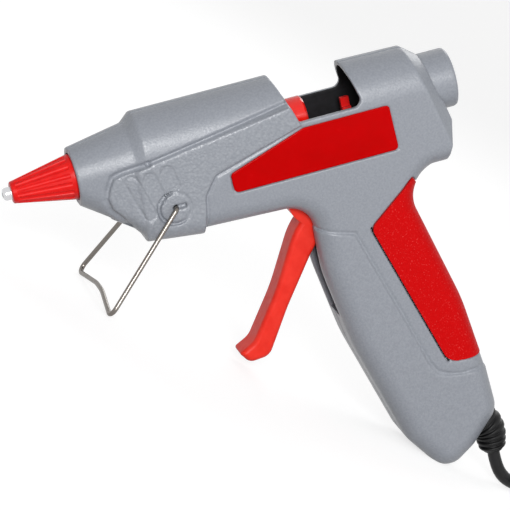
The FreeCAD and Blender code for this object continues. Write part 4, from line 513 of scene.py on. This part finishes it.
# ---------------------------------------------------------------- trigger
# Finger lever in orange-red acetal, moulded hollow-thin so that it glows a little at its front edge.
trigger_red = Finish("orange_red_trigger", card_colour(232, 48, 34), 0.36, Subsurface_Weight=0.25,
                     Specular_IOR_Level=0.2, Subsurface_Radius=(0.004, 0.001, 0.0006), Subsurface_Scale=0.8)
trigger_red.colours(trigger_red.ramp(trigger_red.noise(0.006), 0.35, 0.7), card_colour(228, 44, 30),
                    card_colour(238, 56, 42))
trigger_red.gloss(trigger_red.ramp(trigger_red.noise(0.002), 0.3, 0.7, 0.3, 0.45))
trigger_red.bump(trigger_red.noise(0.0007), 0.00004)
dress(trigger_red, "trigger")

# ---------------------------------------------------------------- bail stand
# Drawn steel wire bent to a stand and sprung into the housing's sides.
bail_steel = Finish("drawn_steel_wire", card_colour(122, 117, 112), 0.26, Metallic=1.0)
bail_steel.gloss(bail_steel.ramp(bail_steel.noise(0.002), 0.3, 0.7, 0.18, 0.36))
bail_steel.bump(bail_steel.noise(0.0006), 0.00002)
dress(bail_steel, "bail")

# ---------------------------------------------------------------- strain relief
# Ribbed black rubber boot round the lead where it leaves the butt: fat at its base, bent down to the bench
# and closed round the lead. Its ribs are turned from rings along the boot's middle line.
boot_black = Finish("black_rubber_boot", card_colour(9, 9, 10), 0.44, Specular_IOR_Level=0.25)
boot_black.colours(boot_black.ramp(boot_black.noise(0.004), 0.35, 0.7), card_colour(7, 7, 8),
                   card_colour(14, 14, 15))
boot_black.bump(boot_black.noise(0.0006), 0.00006)
dress(boot_black, "strain_relief")
BOOT_START = Vector((173.85, -151.83))                   # side view, along and up, in millimetres
BOOT_HEADING = Vector((0.7235, -0.6903))
BOOT_STRAIGHT = 1.0
BEND_CENTRE = Vector((166.15, -161.35))
BEND_RADIUS, BEND_TURN = 12.2, 46.35
BOOT_LENGTH = 18.7
BOOT_STEP = 0.22                                         # from ring to ring
BOOT_SIDES = 48
RIB_PITCH, RIB_DEPTH = 2.7, 1.1
RIB_FADE = 2.0                                           # the ribs run out over this last stretch
BOOT_RADII = [(0.0, 7.6), (6.0, 7.3), (12.0, 6.6), (16.0, 5.9), (17.6, 5.0), (18.3, 3.9), (18.7, 2.7)]


def boot_middle(run):
    """Point and heading of the boot's middle line in the side view, after a run in millimetres."""
    if run < BOOT_STRAIGHT:
        return BOOT_START + BOOT_HEADING * run, BOOT_HEADING
    left = math.radians(BEND_TURN) - (run - BOOT_STRAIGHT) / BEND_RADIUS
    if left > 0.0:
        outward = Vector((math.cos(left), math.sin(left)))
        return BEND_CENTRE + outward * BEND_RADIUS, Vector((outward.y, -outward.x))
    return BEND_CENTRE + Vector((BEND_RADIUS, left * BEND_RADIUS)), Vector((0.0, -1.0))


boot_mesh = bmesh.new()
rings = []
across = Vector((0.0, 1.0, 0.0))
for i in range(int(BOOT_LENGTH / BOOT_STEP) + 1):
    run = i * BOOT_STEP
    point, heading = boot_middle(run)
    groove = 0.5 - 0.5 * math.cos(2 * math.pi * run / RIB_PITCH)
    fade = min(1.0, (BOOT_LENGTH - run) / RIB_FADE)
    radius = float(np.interp(run, *zip(*BOOT_RADII))) - RIB_DEPTH * groove ** 3 * fade
    forward = REARWARD * heading.x + RISE * heading.y
    turn = Matrix((across, forward.cross(across), forward)).transposed().to_4x4()
    place = Matrix.Translation(AXIS_START + (REARWARD * point.x + RISE * point.y) * MM)
    ring = bmesh.ops.create_circle(boot_mesh, segments=BOOT_SIDES, radius=radius * MM, matrix=place @ turn)
    on_ring = set(ring["verts"])
    rings.append([edge for edge in boot_mesh.edges if edge.verts[0] in on_ring])
for near, far in zip(rings, rings[1:]):
    bmesh.ops.bridge_loops(boot_mesh, edges=near + far)
for end in (rings[0], rings[-1]):
    bmesh.ops.edgeloop_fill(boot_mesh, edges=end)
bmesh.ops.recalc_face_normals(boot_mesh, faces=boot_mesh.faces)
boot_data = bpy.data.meshes.new("ribbed_boot")
boot_mesh.to_mesh(boot_data)
boot_mesh.free()
boot_data.polygons.foreach_set("use_smooth", [True] * len(boot_data.polygons))
boot_data.materials.append(boot_black.material)
ribbed_boot = bpy.data.objects.new("ribbed_boot", boot_data)
bpy.context.scene.collection.objects.link(ribbed_boot)
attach(ribbed_boot, "housing")
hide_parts("strain_relief")

# ---------------------------------------------------------------- bench and light
# Plain pale bench and soft studio light: a broad lamp behind the camera, and weaker ones from the gun's rear
# end and from behind it.
FLOOR_HALF = 20.0
bench_mesh = bmesh.new()
bmesh.ops.create_grid(bench_mesh, x_segments=1, y_segments=1, size=FLOOR_HALF)
bench_data = bpy.data.meshes.new("bench")
bench_mesh.to_mesh(bench_data)
bench_mesh.free()
bench = bpy.data.objects.new("bench", bench_data)
bpy.context.scene.collection.objects.link(bench)


def seen_share(tree):
    """1 for what the camera, a reflection or clear plastic shows, 0 for what only lights the object."""
    rays = tree.nodes.new("ShaderNodeLightPath")
    first = tree.nodes.new("ShaderNodeMath")
    first.operation = "MAXIMUM"
    tree.links.new(rays.outputs["Is Camera Ray"], first.inputs[0])
    tree.links.new(rays.outputs["Is Glossy Ray"], first.inputs[1])
    second = tree.nodes.new("ShaderNodeMath")
    second.operation = "MAXIMUM"
    tree.links.new(first.outputs["Value"], second.inputs[0])
    tree.links.new(rays.outputs["Is Transmission Ray"], second.inputs[1])
    return second.outputs["Value"]


bench_paint = bpy.data.materials.new("pale_bench")
bench_paint.use_nodes = True
tree = bench_paint.node_tree
paint = tree.nodes["Principled BSDF"]
paint.inputs["Base Color"].default_value = (0.35, 0.35, 0.35, 1.0)
paint.inputs["Roughness"].default_value = 0.9
glow = tree.nodes.new("ShaderNodeEmission")
tree.links.new(seen_share(tree), glow.inputs["Strength"])
glow.inputs["Color"].default_value = (0.74, 0.74, 0.74, 1.0)
both = tree.nodes.new("ShaderNodeAddShader")
tree.links.new(paint.outputs["BSDF"], both.inputs[0])
tree.links.new(glow.outputs["Emission"], both.inputs[1])
tree.links.new(both.outputs["Shader"], tree.nodes["Material Output"].inputs["Surface"])
bench_data.materials.append(bench_paint)

world = bpy.data.worlds.new("studio")
bpy.context.scene.world = world
world.use_nodes = True
tree = world.node_tree
room = tree.nodes["Background"]
room.inputs["Color"].default_value = (1.0, 1.0, 1.0, 1.0)
level = tree.nodes.new("ShaderNodeMapRange")
tree.links.new(seen_share(tree), level.inputs["Value"])
level.inputs["To Min"].default_value = 0.27
level.inputs["To Max"].default_value = 1.0
tree.links.new(level.outputs["Result"], room.inputs["Strength"])

GUN_MIDDLE = Vector((-0.09, 0.0, 0.07))
for name, place, size, power in (("key_lamp", (-0.66, -1.62, 0.56), 0.55, 26.0),
                                 ("fill_lamp", (0.6, -1.0, 0.4), 0.9, 2.0),
                                 ("back_lamp", (0.2, 0.9, 0.9), 0.7, 4.0)):
    lamp_data = bpy.data.lights.new(name, "AREA")
    lamp_data.shape = "SQUARE"
    lamp_data.size = size
    lamp_data.energy = power
    lamp = bpy.data.objects.new(name, lamp_data)
    lamp.location = place
    lamp.rotation_euler = (GUN_MIDDLE - Vector(place)).to_track_quat("-Z", "Y").to_euler()
    bpy.context.scene.collection.objects.link(lamp)
bpy.context.scene.view_settings.view_transform = "Standard"
